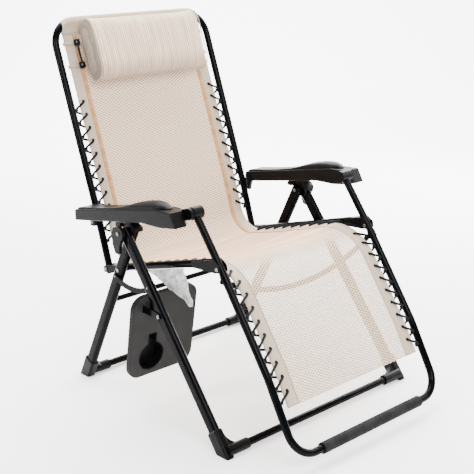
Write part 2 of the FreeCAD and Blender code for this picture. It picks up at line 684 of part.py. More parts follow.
def knee_brace():
    """A bowed cross tube behind the sling, with a sleeve round each leg tube."""
    way = (leg_bend - leg_pivot).normalize()
    behind = FreeCAD.Vector(0, -way.z, way.y)
    sleeve_middle = (size("sleeve_low") + size("sleeve_high")) / 2
    end = leg_pivot + way * sleeve_middle + behind * (tube_radius + size("brace_radius") - size("weld_bite"))
    middle = leg_pivot + way * size("knee_brace_down") + behind * size("knee_brace_behind")
    arc = Part.Arc(shift_x(end, -tube_x), middle, shift_x(end, tube_x)).toShape()
    shape = pipe(Part.Wire([arc]), size("brace_radius"))
    for _, side in SIDES:
        low = shift_x(leg_pivot + way * size("sleeve_low"), side * tube_x)
        high = shift_x(leg_pivot + way * size("sleeve_high"), side * tube_x)
        shape = shape.fuse(rod(low, high, tube_radius + size("sleeve_wall")))
    hollow = pipe(Part.Wire([arc]), size("brace_radius") - size("tube_wall"))
    shape = shape.cut(hollow)
    for _, side in SIDES:
        start = shift_x(leg_pivot, side * tube_x)
        shape = shape.cut(rod(start, start + way * (2 * size("sleeve_high")), tube_radius))
    solids = sorted(shape.Solids, key=lambda solid: solid.Volume)
    return feature("knee_brace", solids[-1])


knee_brace()
for name, side in SIDES:
    cap = across(knuckle, side * size("knuckle_inner"), side * size("knuckle_outer"), size("knuckle_radius"))
    stub = across(knuckle, side * size("knuckle_outer"), side * size("knuckle_stub_end"),
                  size("knuckle_stub_radius"))
    feature("leg_knuckle_" + name, cap.fuse(stub).removeSplitter())
arm_pin_low = tube_x + tube_radius
group("arm_pins", [across(arm_pin, side * arm_pin_low, side * size("arm_pin_end"), size("pin_radius"))
                   for _, side in SIDES])


# --- Slings, eyelets and laces ---------------------------------------------

def strip(label, line, normal_ways):
    """A sling panel: a thin closed slab that follows a line in the side plane."""
    body = doc.addObject("PartDesign::Body", label)
    sketch = new_sketch(body, label + "_section", "YZ_Plane")
    half = size("sling_depth") / 2
    front = [place + way * half for place, way in zip(line, normal_ways)]
    rear = [place - way * half for place, way in zip(line, normal_ways)]
    draw_outline(sketch, [(place.y, place.z) for place in front + rear[::-1]])
    extrude(body, "Pad", label + "_panel", sketch, "Dimensions.sling_half * 2")
    return publish(body, label)


def normals(line):
    """The way each point of a line faces, towards the sitter."""
    ways = []
    for index in range(len(line)):
        ahead = line[min(index + 1, len(line) - 1)] - line[max(index - 1, 0)]
        ways.append(FreeCAD.Vector(0, -ahead.z, ahead.y).normalize())
    return ways


def walk(line, first, pitch, last_gap):
    """Points at an even pitch along a line, with the way the line faces there."""
    lengths = [(after - before).Length for before, after in zip(line, line[1:])]
    total = sum(lengths)
    found = []
    along = first
    while along < total - last_gap:
        rest = along
        index = 0
        while rest > lengths[index]:
            rest -= lengths[index]
            index += 1
        way = (line[index + 1] - line[index]).normalize()
        found.append((line[index] + way * rest, FreeCAD.Vector(0, -way.z, way.y)))
        along += pitch
    return found


def seat_line():
    """The seat sling's sagging line, from the back hinge to the knee."""
    start = back_pivot + rail_way * size("seat_sling_gap") - rail_up * size("seat_rear_drop")
    stop = rail_front - rail_way * size("seat_front_gap") - rail_up * size("seat_front_drop")
    line = []
    steps = 8
    for step in range(steps + 1):
        share = step / steps
        sag = 4 * share * (1 - share) * size("seat_sag")
        line.append(start + (stop - start) * share - rail_up * sag)
    return line


leg_way_down = (leg_bend - leg_pivot).normalize()
leg_stop = leg_bend + (foot_bar - leg_bend).normalize() * (
    (leg_bend.z - size("leg_sling_low")) / (leg_bend.z - foot_bar.z) * (foot_bar - leg_bend).Length)
back_way_up = (back_top - back_bend).normalize()
LINES = {
    "back": [back_pivot + back_way_low * size("back_sling_gap"), back_bend,
             back_top - back_way_up * size("sling_top_gap")],
    "seat": seat_line()[::-1],
    "leg": [leg_stop, leg_bend, leg_pivot + leg_way_down * size("leg_sling_gap")],
}
# The first eyelet from the start of each line, and the bare length at its end.
LACED = {"back": (36, 180), "seat": (76, 84), "leg": (30, 34)}
eyelet_x = size("sling_half") - size("eyelet_inset")
for part_name, line in LINES.items():
    facing = [way if way.y < 0 or way.z > 0 else way * -1 for way in normals(line)]
    strip(part_name + "_sling", line, facing)
    first, last_gap = LACED[part_name]
    rings = []
    laces = []
    for place, way in walk(line, first, size("lace_pitch"), last_gap):
        way = way if way.y < 0 or way.z > 0 else way * -1
        for _, side in SIDES:
            low = shift_x(place, side * eyelet_x) + way * (size("sling_depth") / 2 + size("eyelet_lift"))
            top = low + way * size("eyelet_depth")
            rings.append(ring(low, top, size("eyelet_radius"), size("eyelet_hole")))
            edge = shift_x(place, side * (size("sling_half") + size("lace_radius")))
            target = place
            reach = tube_x - tube_radius
            if part_name == "seat":
                target = place - rail_up * (place - back_pivot).dot(rail_up)
                reach = inner_ear - size("lace_radius")
            tube_side = shift_x(target, side * reach)
            laces.append(rod(edge, tube_side, size("lace_radius")))
    group(part_name + "_eyelets", rings)
    group(part_name + "_laces", laces)
for label, bar, name in (("top_hem", back_top, "hem"), ("foot_sleeve", foot_bar, "foam")):
    half = size(name + "_half")
    feature(label, ring(shift_x(bar, -half), shift_x(bar, half), size(name + "_radius"), tube_radius))


# --- Armrests ---------------------------------------------------------------

# Outlines in the side plane, as Y and Z.
ARM_OUTLINE = [(326, 527), (1, 588), (-72, 590), (-144, 602), (-120, 641), (-64, 638), (326, 560)]
ARM_HOLLOW = [(312, 520), (312, 558), (-40, 628), (-40, 560)]
PAD_OUTLINE = [(318, 561.9), (314, 569), (240, 582), (150, 598), (102, 611), (56, 630), (10, 641),
               (-30, 646), (-66, 645), (-84, 641.5), (-63, 638.4)]
EAR_WEB = [(-131, 614), (-84, 600), (-84, 634), (-131, 645)]
REAR_EAR = [(294, 550), (307, 501), (325, 501), (326, 550)]


def armrest(label, side):
    """The moulded armrest: hollow below for the hub's slider, with two inner ears."""
    body = doc.addObject("PartDesign::Body", label)
    body.Placement = FreeCAD.Placement(X_WAY * side * size("armrest_x"), FreeCAD.Rotation())
    outline = new_sketch(body, label + "_outline", "YZ_Plane")
    draw_outline(outline, ARM_OUTLINE)
    shell = extrude(body, "Pad", label + "_shell", outline, "Dimensions.armrest_width")
    half = size("armrest_width") / 2

    def nose_corner(edge):
        middle = edge.CenterOfMass
        return side * middle.x < 1 - half and middle.y < size("nose_y") and not along_x(edge)
    nose = body.newObject("PartDesign::Chamfer", label + "_nose")
    nose.Base = (shell, ["Edge%d" % (i + 1) for i, edge in enumerate(shell.Shape.Edges) if nose_corner(edge)])
    nose.Size = size("nose_chamfer")
    doc.recompute()
    round_edges(body, label + "_rounding", nose, lambda edge: True, size("armrest_round"))
    hollow = new_sketch(body, label + "_hollow_outline", "YZ_Plane")
    draw_outline(hollow, ARM_HOLLOW)
    extrude(body, "Pocket", label + "_hollow", hollow, "Dimensions.armrest_slot")
    inner = -side * (size("armrest_width") - size("arm_ear_depth")) / 2
    ear_sketch = new_sketch(body, label + "_ears", "YZ_Plane", inner)
    draw_circle(ear_sketch, (knuckle.y, knuckle.z), size("arm_ear_radius"))
    extrude(body, "Pad", label + "_front_ear", ear_sketch, "Dimensions.arm_ear_depth")
    web = new_sketch(body, label + "_ear_web", "YZ_Plane", inner)
    draw_outline(web, EAR_WEB)
    extrude(body, "Pad", label + "_front_web", web, "Dimensions.arm_ear_depth")
    rear_sketch = new_sketch(body, label + "_rear_ear_outline", "YZ_Plane", inner)
    draw_outline(rear_sketch, REAR_EAR)
    extrude(body, "Pad", label + "_rear_ear", rear_sketch, "Dimensions.arm_ear_depth")
    pins = new_sketch(body, label + "_pin_places", "YZ_Plane", inner)
    draw_circle(pins, (knuckle.y, knuckle.z), size("knuckle_hole"))
    draw_circle(pins, (arm_pin.y, arm_pin.z), pin_hole)
    extrude(body, "Pocket", label + "_pin_holes", pins, "Dimensions.arm_ear_depth * 2")
    return publish(body, label)


def armrest_pad(label, side):
    """The dished top of the armrest."""
    body = doc.addObject("PartDesign::Body", label)
    body.Placement = FreeCAD.Placement(X_WAY * side * size("armrest_x"), FreeCAD.Rotation())
    outline = new_sketch(body, label + "_outline", "YZ_Plane")
    draw_outline(outline, PAD_OUTLINE)
    extrude(body, "Pad", label + "_block", outline, "Dimensions.pad_width")
    return publish(body, label)


for name, side in SIDES:
    armrest("armrest_" + name, side)
    armrest_pad("armrest_pad_" + name, side)


# --- Pillow -----------------------------------------------------------------

pillow_face = FreeCAD.Vector(0, -back_way_up.z, back_way_up.y)
pillow_middle = (back_top - back_way_up * size("pillow_down")
                 + pillow_face * (size("sling_depth") / 2 + size("pillow_gap") + size("pillow_depth") / 2))
pillow_turn = FreeCAD.Rotation(X_WAY, math.degrees(math.atan2(-back_way_up.y, back_way_up.z)))


def pillow():
    """A bolster with an oval section, its flat end panels square to it."""
    body = doc.addObject("PartDesign::Body", "pillow")
    body.Placement = FreeCAD.Placement(pillow_middle, pillow_turn)
    sketch = new_sketch(body, "pillow_section", "YZ_Plane")
    place = FreeCAD.Vector(0, 0, 0)
    high = FreeCAD.Vector(0, size("pillow_rise") / 2, 0)
    deep = FreeCAD.Vector(size("pillow_depth") / 2, 0, 0)
    sketch.addGeometry(Part.Ellipse(high, deep, place), False)
    extrude(body, "Pad", "pillow_roll", sketch, "Dimensions.pillow_length")
    return publish(body, "pillow")


STRAP_RISES = (size("strap_rise"), -size("strap_rise"))


def pillow_buckles():
    """Two elastic clips on each end of the pillow, as short bars."""
    clips = []
    for _, side in SIDES:
        for rise in STRAP_RISES:
            inner_x = side * size("pillow_length") / 2
            low_x = min(inner_x, inner_x + side * size("clip_width"))
            low = FreeCAD.Vector(low_x, size("clip_front"), rise - size("clip_height") / 2)
            block = Part.makeBox(size("clip_width"), size("clip_depth"), size("clip_height"), low)
            block = block.makeFillet(size("clip_corner"), block.Edges)
            block.Placement = FreeCAD.Placement(pillow_middle, pillow_turn)
            clips.append(block)
    return group("pillow_buckles", clips)


def pillow_straps():
    """Elastic straps from the clips, round the edge of the sling to its back."""
    straps = []
    deep = size("strap_depth")
    high = size("strap_height")
    front_y = size("strap_front")
    edge = size("sling_half") + size("strap_clearance")
    behind = (size("pillow_depth") / 2 + size("pillow_gap") + size("sling_depth")
              + size("strap_clearance") - deep / 2)

    def band(wide, long, x, y, rise):
        box = Part.makeBox(wide, long, high, FreeCAD.Vector(x, y, rise - high / 2))
        box.Placement = FreeCAD.Placement(pillow_middle, pillow_turn)
        return box
    for rise in STRAP_RISES:
        for _, side in SIDES:
            start = side * (size("pillow_length") / 2 + size("clip_width"))
            outer = side * (edge + deep)
            front = band(abs(outer - start), deep, min(start, outer), front_y, rise)
            turn = band(deep, behind - front_y, min(side * edge, outer), front_y, rise)
            straps.append(front.fuse(turn).removeSplitter())
        straps.append(band(2 * (edge + deep), deep, -edge - deep, behind, rise))
    return group("pillow_straps", straps)


pillow()
pillow_buckles()
pillow_straps()


# --- Tray and tag -------------------------------------------------------------

tray_middle = point(size("tray_x"), "tray")
tray_turn = FreeCAD.Rotation(X_WAY, size("tray_lean"))


def tray_panel():
    """A flat moulded panel with a cup well."""
    body = doc.addObject("PartDesign::Body", "tray_panel")
    body.Placement = FreeCAD.Placement(tray_middle, tray_turn)
    outline = new_sketch(body, "tray_outline", "XZ_Plane")
    wide = size("tray_width") / 2
    tall = size("tray_rise") / 2
    draw_outline(outline, [(-wide, -tall), (wide, -tall), (wide, tall), (-wide, tall)])
    plate = extrude(body, "Pad", "tray_plate", outline, "Dimensions.tray_depth")

    def corner(edge):
        ends = [vertex.Point for vertex in edge.Vertexes]
        upright = len(ends) == 2 and abs(ends[0].x - ends[1].x) + abs(ends[0].z - ends[1].z) < 0.01
        return upright and abs(ends[0].x) > wide - 1
    round_edges(body, "tray_corners", plate, corner, size("tray_corner"))
    rear_face = -size("tray_depth") / 2
    cup_centre = (size("cup_x"), size("cup_z"))
    wall = size("cup_wall")
    slot_low = cup_centre[1] + size("cup_radius") - size("cup_slot_overlap")
    slot_left = cup_centre[0] - size("cup_slot_half")
    slot_right = cup_centre[0] + size("cup_slot_half")
    slot_top = slot_low + size("cup_slot")

    def slot_outline(name, more):
        sketch = new_sketch(body, name, "XZ_Plane", rear_face)
        draw_outline(sketch, [(slot_left - more, slot_low), (slot_right + more, slot_low),
                              (slot_right + more, slot_top + more), (slot_left - more, slot_top + more)])
        return sketch

    def round_outline(name, radius):
        sketch = new_sketch(body, name, "XZ_Plane", rear_face)
        draw_circle(sketch, cup_centre, radius)
        return sketch
    well = "Dimensions.cup_well"
    extrude(body, "Pad", "tray_well", round_outline("tray_well_outline", size("cup_radius") + wall), well,
            False, True)
    extrude(body, "Pad", "tray_slot_well", slot_outline("tray_slot_well_outline", wall), well, False, True)
    inside = "Dimensions.cup_well - Dimensions.cup_wall"
    before = body.Shape.Volume
    for shape_name, outline_of in (("cup", round_outline("tray_cup_outline", size("cup_radius"))),
                                   ("slot", slot_outline("tray_slot_outline", 0))):
        extrude(body, "Pocket", "tray_%s_well" % shape_name, outline_of, inside, False, False)
        extrude(body, "Pocket", "tray_%s_hole" % shape_name, outline_of, "Dimensions.tray_depth * 2",
                False, True)
    if body.Shape.Volume > before - math.pi * size("cup_radius") ** 2 * size("tray_depth"):
        raise RuntimeError("the cup well was not cut")
    return publish(body, "tray_panel")


tray_panel()
front_face = -size("tray_depth") / 2
turn_to_row = FreeCAD.Placement(shift_x(tray_middle, 0), tray_turn)
bracket_end = [turn_to_row.multVec(FreeCAD.Vector(0, front_face, height))
               for height in (size("bracket_low"), size("bracket_high"))]
bracket_side = (bracket_end[1] - bracket_end[0]).normalize() * size("bracket_half")
bracket_outline = [tray_bolt + bracket_side, tray_bolt - bracket_side] + bracket_end
leg_half = size("oval_depth") / 2 + size("bracket_gap")
plates = []
for x_low in (-size("front_leg_x") - leg_half - size("bracket_depth"), -size("front_leg_x") + leg_half):
    corners = [shift_x(place, x_low) for place in bracket_outline + bracket_outline[:1]]
    face = Part.Face(Part.makePolygon(corners))
    plate = face.extrude(X_WAY * size("bracket_depth"))
    eye = across(tray_bolt, x_low, x_low + size("bracket_depth"), size("bracket_half"))
    hole = across(tray_bolt, x_low - OVER, x_low + size("bracket_depth") + OVER, pin_hole)
    plates.append(plate.fuse(eye).cut(hole).removeSplitter())
group("tray_bracket", plates)
bracket_outer = leg_half + size("bracket_depth") + size("ear_gap")
bolt_low = size("front_leg_x") - bracket_outer
bolt_high = size("front_leg_x") + bracket_outer
group("tray_bolt", [bolt(tray_bolt, -1, bolt_low, bolt_high, size("pin_radius"), size("tray_bolt_head"))])
TAG_OUTLINE = [(84, 413), (-78, 459), (-116, 356), (-104, 352)]
tag_corners = [FreeCAD.Vector(-tube_x, y, z) for y, z in TAG_OUTLINE]
tag_face = Part.Face(Part.makePolygon(tag_corners + tag_corners[:1]))
feature("hang_tag", tag_face.extrude(X_WAY * size("tag_depth")))


# --- Checks and export ---------------------------------------------------------

doc.recompute()
for thing in doc.Objects:
    if "Invalid" in thing.State or "Error" in thing.State:
        raise RuntimeError("%s failed: %s" % (thing.Name, thing.State))
os.makedirs("parts", exist_ok=True)
for thing in nodes:
    if thing.Shape.isNull() or not thing.Shape.isValid() or not thing.Shape.Solids:
        raise RuntimeError("%s has no valid solid" % thing.Label)
for thing in nodes:
    thing.Shape.exportStep("parts/%s.step" % thing.Label)
print("%d nodes" % len(nodes))
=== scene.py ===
"""Looks of the laced reclining lounge chair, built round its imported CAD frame.

Metres. +Z up, the sitter faces -Y, left is +X. The sling, its laces and the pillow are made
here; frame tubes, mouldings and fasteners are the CAD nodes with better materials.
"""

import json
import math
import random

import bmesh
import bpy
from mathutils import Matrix, Vector, noise


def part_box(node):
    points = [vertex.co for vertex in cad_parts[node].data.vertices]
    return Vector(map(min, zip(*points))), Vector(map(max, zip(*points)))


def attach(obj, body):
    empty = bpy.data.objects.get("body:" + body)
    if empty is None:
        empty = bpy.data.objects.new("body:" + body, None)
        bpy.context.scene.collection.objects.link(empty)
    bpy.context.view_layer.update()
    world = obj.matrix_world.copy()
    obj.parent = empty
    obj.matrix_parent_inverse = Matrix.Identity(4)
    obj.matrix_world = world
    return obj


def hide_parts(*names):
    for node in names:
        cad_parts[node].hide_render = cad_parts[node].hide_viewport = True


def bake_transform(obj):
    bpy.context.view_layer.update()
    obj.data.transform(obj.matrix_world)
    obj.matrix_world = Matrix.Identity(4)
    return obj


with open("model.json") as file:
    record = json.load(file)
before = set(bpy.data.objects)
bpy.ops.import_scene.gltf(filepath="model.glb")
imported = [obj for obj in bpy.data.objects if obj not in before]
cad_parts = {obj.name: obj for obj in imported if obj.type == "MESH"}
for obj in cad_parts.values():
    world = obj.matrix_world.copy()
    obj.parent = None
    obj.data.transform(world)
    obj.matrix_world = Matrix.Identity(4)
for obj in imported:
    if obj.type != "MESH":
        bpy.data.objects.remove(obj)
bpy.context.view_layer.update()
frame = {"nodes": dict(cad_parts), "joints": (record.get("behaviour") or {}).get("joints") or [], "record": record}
NODES = frame["nodes"]
SLOT_OF = {part["node"]: part["material_slot"] for part in frame["record"]["subparts"]}
PIVOT = {joint["name"]: Vector(joint["pos_m"]) for joint in frame["joints"] if "pos_m" in joint}
SIDES = (-1, 1)

# --- Places in the side plane, as (y, z) ------------------------------------------


def middle_of(node):
    low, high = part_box(node)
    return (low + high) / 2


def side_plane(place):
    return Vector((place.y, place.z))


TOP_BAR = side_plane(middle_of("top_hem"))
FOOT_BAR = side_plane(middle_of("foot_sleeve"))
BACK_HINGE = side_plane(PIVOT["recline"])
LEG_HINGE = side_plane(PIVOT["leg_raise"])
BACK_BEND = Vector((0.325, 0.540))
LEG_BEND = Vector((-0.414, 0.240))
RAIL_FRONT = Vector((-0.222, 0.513))
TUBE_X = 0.300
TUBE_RADIUS = 0.011
TOP_CORNER_RADIUS = 0.078
BACK_UP = (TOP_BAR - BACK_BEND).normalized()
BACK_FACE = Vector((-BACK_UP.y, BACK_UP.x))

SLING_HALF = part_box("back_sling")[1].x
PIPING_X = SLING_HALF - 0.041
EYELET_X = SLING_HALF - 0.016
LACE_PITCH = 0.0405
LEG_PITCH = 0.0395
LACE_RADIUS = 0.0036
SLING_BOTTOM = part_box("leg_sling")[0].z
SEAM_DOWN = 0.038
CORNER_ROUND = 0.085
KNEE_ROUND = 0.160
SOFT_BEND = 0.30

TRAY_LEAN = math.radians(8.8)
TRAY_BACK = Vector((0, math.cos(TRAY_LEAN), math.sin(TRAY_LEAN)))
TRAY_FACE_DEPTH = min(vertex.co.dot(TRAY_BACK) for vertex in NODES["tray_panel"].data.vertices)

# --- Materials: pitches of the weaves in metres, shares from 0 to 1, linear colours ------

RIB_PITCH = 0.0078
GAP_PITCH = 0.0088
THREAD_PITCH = 0.0024
GAP_SHARE = 0.90
BACK_COVER = 0.87
LEG_COVER = 0.57
BEIGE_LOW = (0.74, 0.52, 0.35)
BEIGE_HIGH = (0.95, 0.74, 0.53)
BEIGE_SLUB = (0.96, 0.80, 0.61)
GAP_BROWN = (0.080, 0.050, 0.034)
BORDER_GREY = (0.43, 0.35, 0.27)
BORDER_DARK = (0.31, 0.25, 0.19)
WARM_LOW = (0.55, 0.225, 0.08)
WARM_HIGH = (0.93, 0.58, 0.30)

PILLOW_RIB = 0.0080
PILLOW_KNOT = 0.0042
PILLOW_LOW_COLOR = (0.30, 0.21, 0.145)
PILLOW_HIGH_COLOR = (0.84, 0.64, 0.45)
# Painted shade for the pillow's plain end panels.
END_PANEL_SHADE = (0.080, 0.062, 0.046)
# Painted shade for the pillow's underside.
UNDERSIDE_SHADE = (0.20, 0.150, 0.112)

TAPE_RIB = 0.0018
TAPE_DARK = (0.34, 0.16, 0.048)
TAPE_LIGHT = (0.52, 0.265, 0.085)
TAPE_PALE = (0.38, 0.28, 0.21)

PAINT_LOW = (0.0008, 0.0008, 0.0012)
PAINT_HIGH = (0.0022, 0.0023, 0.0030)
# Edge colour of the paint: partly wear, partly painted highlight.
PAINT_WEAR_AND_HIGHLIGHT = (0.02, 0.021, 0.023)
BLACK_LOW = (0.0012, 0.0012, 0.0013)
BLACK_HIGH = (0.0028, 0.0028, 0.0031)
PAD_LOW = (0.0024, 0.0024, 0.0026)
PAD_HIGH = (0.0052, 0.0052, 0.0056)


class Recipe:
    """A node material with short ways to add nodes."""

    def __init__(self, name, color, roughness, **sockets):
        self.material = bpy.data.materials.new(name)
        self.material.use_nodes = True
        self.tree = self.material.node_tree
        self.shader = self.tree.nodes["Principled BSDF"]
        self.shader.inputs["Base Color"].default_value = (*color, 1)
        self.shader.inputs["Roughness"].default_value = roughness
        for socket, value in sockets.items():
            self.shader.inputs[socket.replace("_", " ")].default_value = value

    def node(self, kind, inputs=None, **settings):
        made = self.tree.nodes.new(kind)
        for key, value in settings.items():
            setattr(made, key, value)
        for key, value in (inputs or {}).items():
            self.feed(made.inputs[key], value)
        return made

    def feed(self, socket, value):
        if isinstance(value, bpy.types.NodeSocket):
            self.tree.links.new(value, socket)
        else:
            socket.default_value = value

    def math(self, operation, *values):
        made = self.node("ShaderNodeMath", operation=operation)
        for socket, value in zip(made.inputs, values):
            self.feed(socket, value)
        return made.outputs[0]

    def times(self, first, second):
        return self.math("MULTIPLY", first, second)

    def plus(self, first, second):
        return self.math("ADD", first, second)

    def rest_of(self, share):
        return self.math("SUBTRACT", 1.0, share)

    def dot(self, first, second):
        made = self.node("ShaderNodeVectorMath", {0: first, 1: second}, operation="DOT_PRODUCT")
        return made.outputs["Value"]

    def span(self, value, low, high, to_low=0.0, to_high=1.0):
        """value from low..high, smoothly mapped to to_low..to_high."""
        made = self.node("ShaderNodeMapRange", interpolation_type="SMOOTHSTEP")
        for key, number in (("Value", value), ("From Min", low), ("From Max", high),
                            ("To Min", to_low), ("To Max", to_high)):
            self.feed(made.inputs[key], number)
        return made.outputs["Result"]

    def mix(self, share, first, second):
        made = self.node("ShaderNodeMix", data_type="RGBA")
        self.feed(made.inputs["Factor"], share)
        for socket, color in ((made.inputs[6], first), (made.inputs[7], second)):
            self.feed(socket, color if isinstance(color, bpy.types.NodeSocket) else (*color, 1))
        return made.outputs[2]

    def noise(self, place, scale, detail=3.0, roughness=0.55):
        inputs = {"Vector": place, "Scale": scale, "Detail": detail, "Roughness": roughness}
        return self.node("ShaderNodeTexNoise", inputs).outputs["Fac"]

    def streaks(self, place, scale, detail, roughness=0.55):
        """Noise drawn out by a scale for each axis."""
        made = self.node("ShaderNodeMapping", {"Vector": place, "Scale": scale})
        return self.noise(made.outputs["Vector"], 1.0, detail, roughness)

    def object_place(self):
        return self.node("ShaderNodeTexCoord").outputs["Object"]

    def bump(self, height, distance, strength):
        inputs = {"Height": height, "Distance": distance, "Strength": strength}
        return self.node("ShaderNodeBump", inputs).outputs["Normal"]

    def edges(self, radius):
        """1 along a mesh's sharp edges, 0 on its flats."""
        soft = self.node("ShaderNodeBevel", {"Radius": radius}, samples=4).outputs["Normal"]
        flat = self.node("ShaderNodeNewGeometry").outputs["Normal"]
        return self.span(self.rest_of(self.dot(soft, flat)), 0.02, 0.22)

    def finish(self, color, roughness=None, normal=None):
        for name, value in (("Base Color", color), ("Roughness", roughness), ("Normal", normal)):
            if value is not None:
                self.feed(self.shader.inputs[name], value)
        return self.material


def painted_tube():
    """Gloss black powder coat: faint orange peel, dust in the gloss, lighter edges that are partly wear and partly
    painted highlight.
    """
    look = Recipe("frame_paint", (0.002, 0.002, 0.0025), 0.2, Specular_IOR_Level=0.04)
    place = look.object_place()
    peel = look.noise(place, 900, 2)
    dust = look.noise(place, 14, 5, 0.6)
    color = look.mix(look.span(dust, 0.35, 0.75), PAINT_LOW, PAINT_HIGH)
    # Lighter edges: partly wear, partly a painted highlight.
    color = look.mix(look.times(look.edges(0.0012), 0.25), color, PAINT_WEAR_AND_HIGHLIGHT)
    rough = look.span(dust, 0.3, 0.8, 0.10, 0.20)
    return look.finish(color, rough, look.bump(peel, 0.0002, 0.25))


def moulded_plastic(name, dark, light, grain, roughness):
    """Satin moulded plastic with a fine spark-eroded grain and paler edges that are partly handling wear and
    partly painted highlight.
    """
    look = Recipe(name, dark, roughness, Specular_IOR_Level=0.07)
    place = look.object_place()
    fine = look.noise(place, grain, 2)
    broad = look.noise(place, 9, 4)
    color = look.mix(look.span(broad, 0.3, 0.7), dark, light)
    # Edge colour: partly handling wear, partly painted highlight.
    edge_wear_and_highlight = tuple(4 * part + 0.01 for part in light)
    color = look.mix(look.times(look.edges(0.0016), 0.3), color, edge_wear_and_highlight)
    rough = look.span(look.times(look.plus(fine, broad), 0.5), 0.3, 0.7, roughness - 0.07, roughness + 0.08)
    return look.finish(color, rough, look.bump(fine, 0.0003, 0.5))


def tray_plastic():
    """Pebbled dark grey face inside a smoother black rim; the sides, the back and the well get near-black painted
    shade.
    """
    look = Recipe("tray_plastic", (0.01, 0.01, 0.01), 0.6, Specular_IOR_Level=0.12)
    place = look.object_place()
    facing = look.node("ShaderNodeTexCoord").outputs["Normal"]
    front = look.dot(facing, -TRAY_BACK)
    rim = look.edges(0.010)
    pebble = look.noise(place, 520, 3)
    broad = look.noise(place, 12, 4)
    face = look.mix(look.span(broad, 0.3, 0.7), (0.0110, 0.0110, 0.0112), (0.0150, 0.0150, 0.0152))
    face = look.mix(look.span(pebble, 0.4, 0.7, 0.0, 0.3), face, (0.024, 0.024, 0.024))
    # Only the front face at its own depth keeps the grey; every other facing and the cup well get near-black
    # painted shade.
    share = look.times(look.span(front, 0.8, 0.97), look.rest_of(rim))
    depth = look.dot(place, TRAY_BACK)
    share = look.times(share, look.span(depth, TRAY_FACE_DEPTH + 0.004, TRAY_FACE_DEPTH + 0.002))
    color = look.mix(share, (0.0010, 0.0010, 0.0011), face)
    return look.finish(color, look.span(pebble, 0.3, 0.7, 0.5, 0.68), look.bump(pebble, 0.0004, 0.6))


def rivet_steel():
    """Zinc-plated steel, slightly brushed and stained."""
    look = Recipe("rivet_steel", (0.45, 0.45, 0.46), 0.32, Metallic=1.0)
    place = look.object_place()
    stain = look.noise(place, 160, 4)
    color = look.mix(look.span(stain, 0.35, 0.7), (0.09, 0.09, 0.095), (0.26, 0.26, 0.27))
    brushed = look.streaks(place, (60, 900, 900), 2)
    return look.finish(color, look.span(stain, 0.3, 0.7, 0.24, 0.45), look.bump(brushed, 0.0002, 0.3))


def foam_grip():
    """Closed-cell foam: small open bubbles and a powdery surface."""
    look = Recipe("foam_grip", (0.012, 0.012, 0.013), 0.85, Specular_IOR_Level=0.15)
    place = look.object_place()
    cells = look.node("ShaderNodeTexVoronoi", {"Vector": place, "Scale": 420.0}).outputs["Distance"]
    wear = look.noise(place, 30, 4)
    color = look.mix(look.span(wear, 0.35, 0.7), (0.005, 0.005, 0.0054), (0.012, 0.012, 0.0127))
    color = look.mix(look.span(cells, 0.0, 0.35, 0.5, 0.0), color, (0.004, 0.004, 0.004))
    return look.finish(color, None, look.bump(cells, 0.0006, 0.6))


def elastic_cord(name, dark, light):
    """Braided elastic: two families of crossing strands."""
    look = Recipe(name, dark, 0.6, Specular_IOR_Level=0.12)
    place = look.object_place()
    strands = look.node("ShaderNodeTexWave", {"Vector": place, "Scale": 380.0, "Distortion": 1.5},
                        bands_direction="DIAGONAL").outputs["Fac"]
    fuzz = look.noise(place, 700, 3)
    color = look.mix(strands, dark, light)
    height = look.plus(strands, look.times(fuzz, 0.4))
    return look.finish(color, None, look.bump(height, 0.0004, 0.5))


def cloth_parts(look):
    """The cloth attribute (x across, y along, in metres), its two parts, and the zone's three."""
    cloth = look.node("ShaderNodeAttribute", attribute_name="cloth").outputs["Vector"]
    zone = look.node("ShaderNodeAttribute", attribute_name="zone").outputs["Vector"]
    across, along, _ = look.node("ShaderNodeSeparateXYZ", {0: cloth}).outputs
    return (cloth, across, along, *look.node("ShaderNodeSeparateXYZ", {0: zone}).outputs)


def ripple(look, value, pitch):
    return look.math("COSINE", look.times(value, 2 * math.pi / pitch))


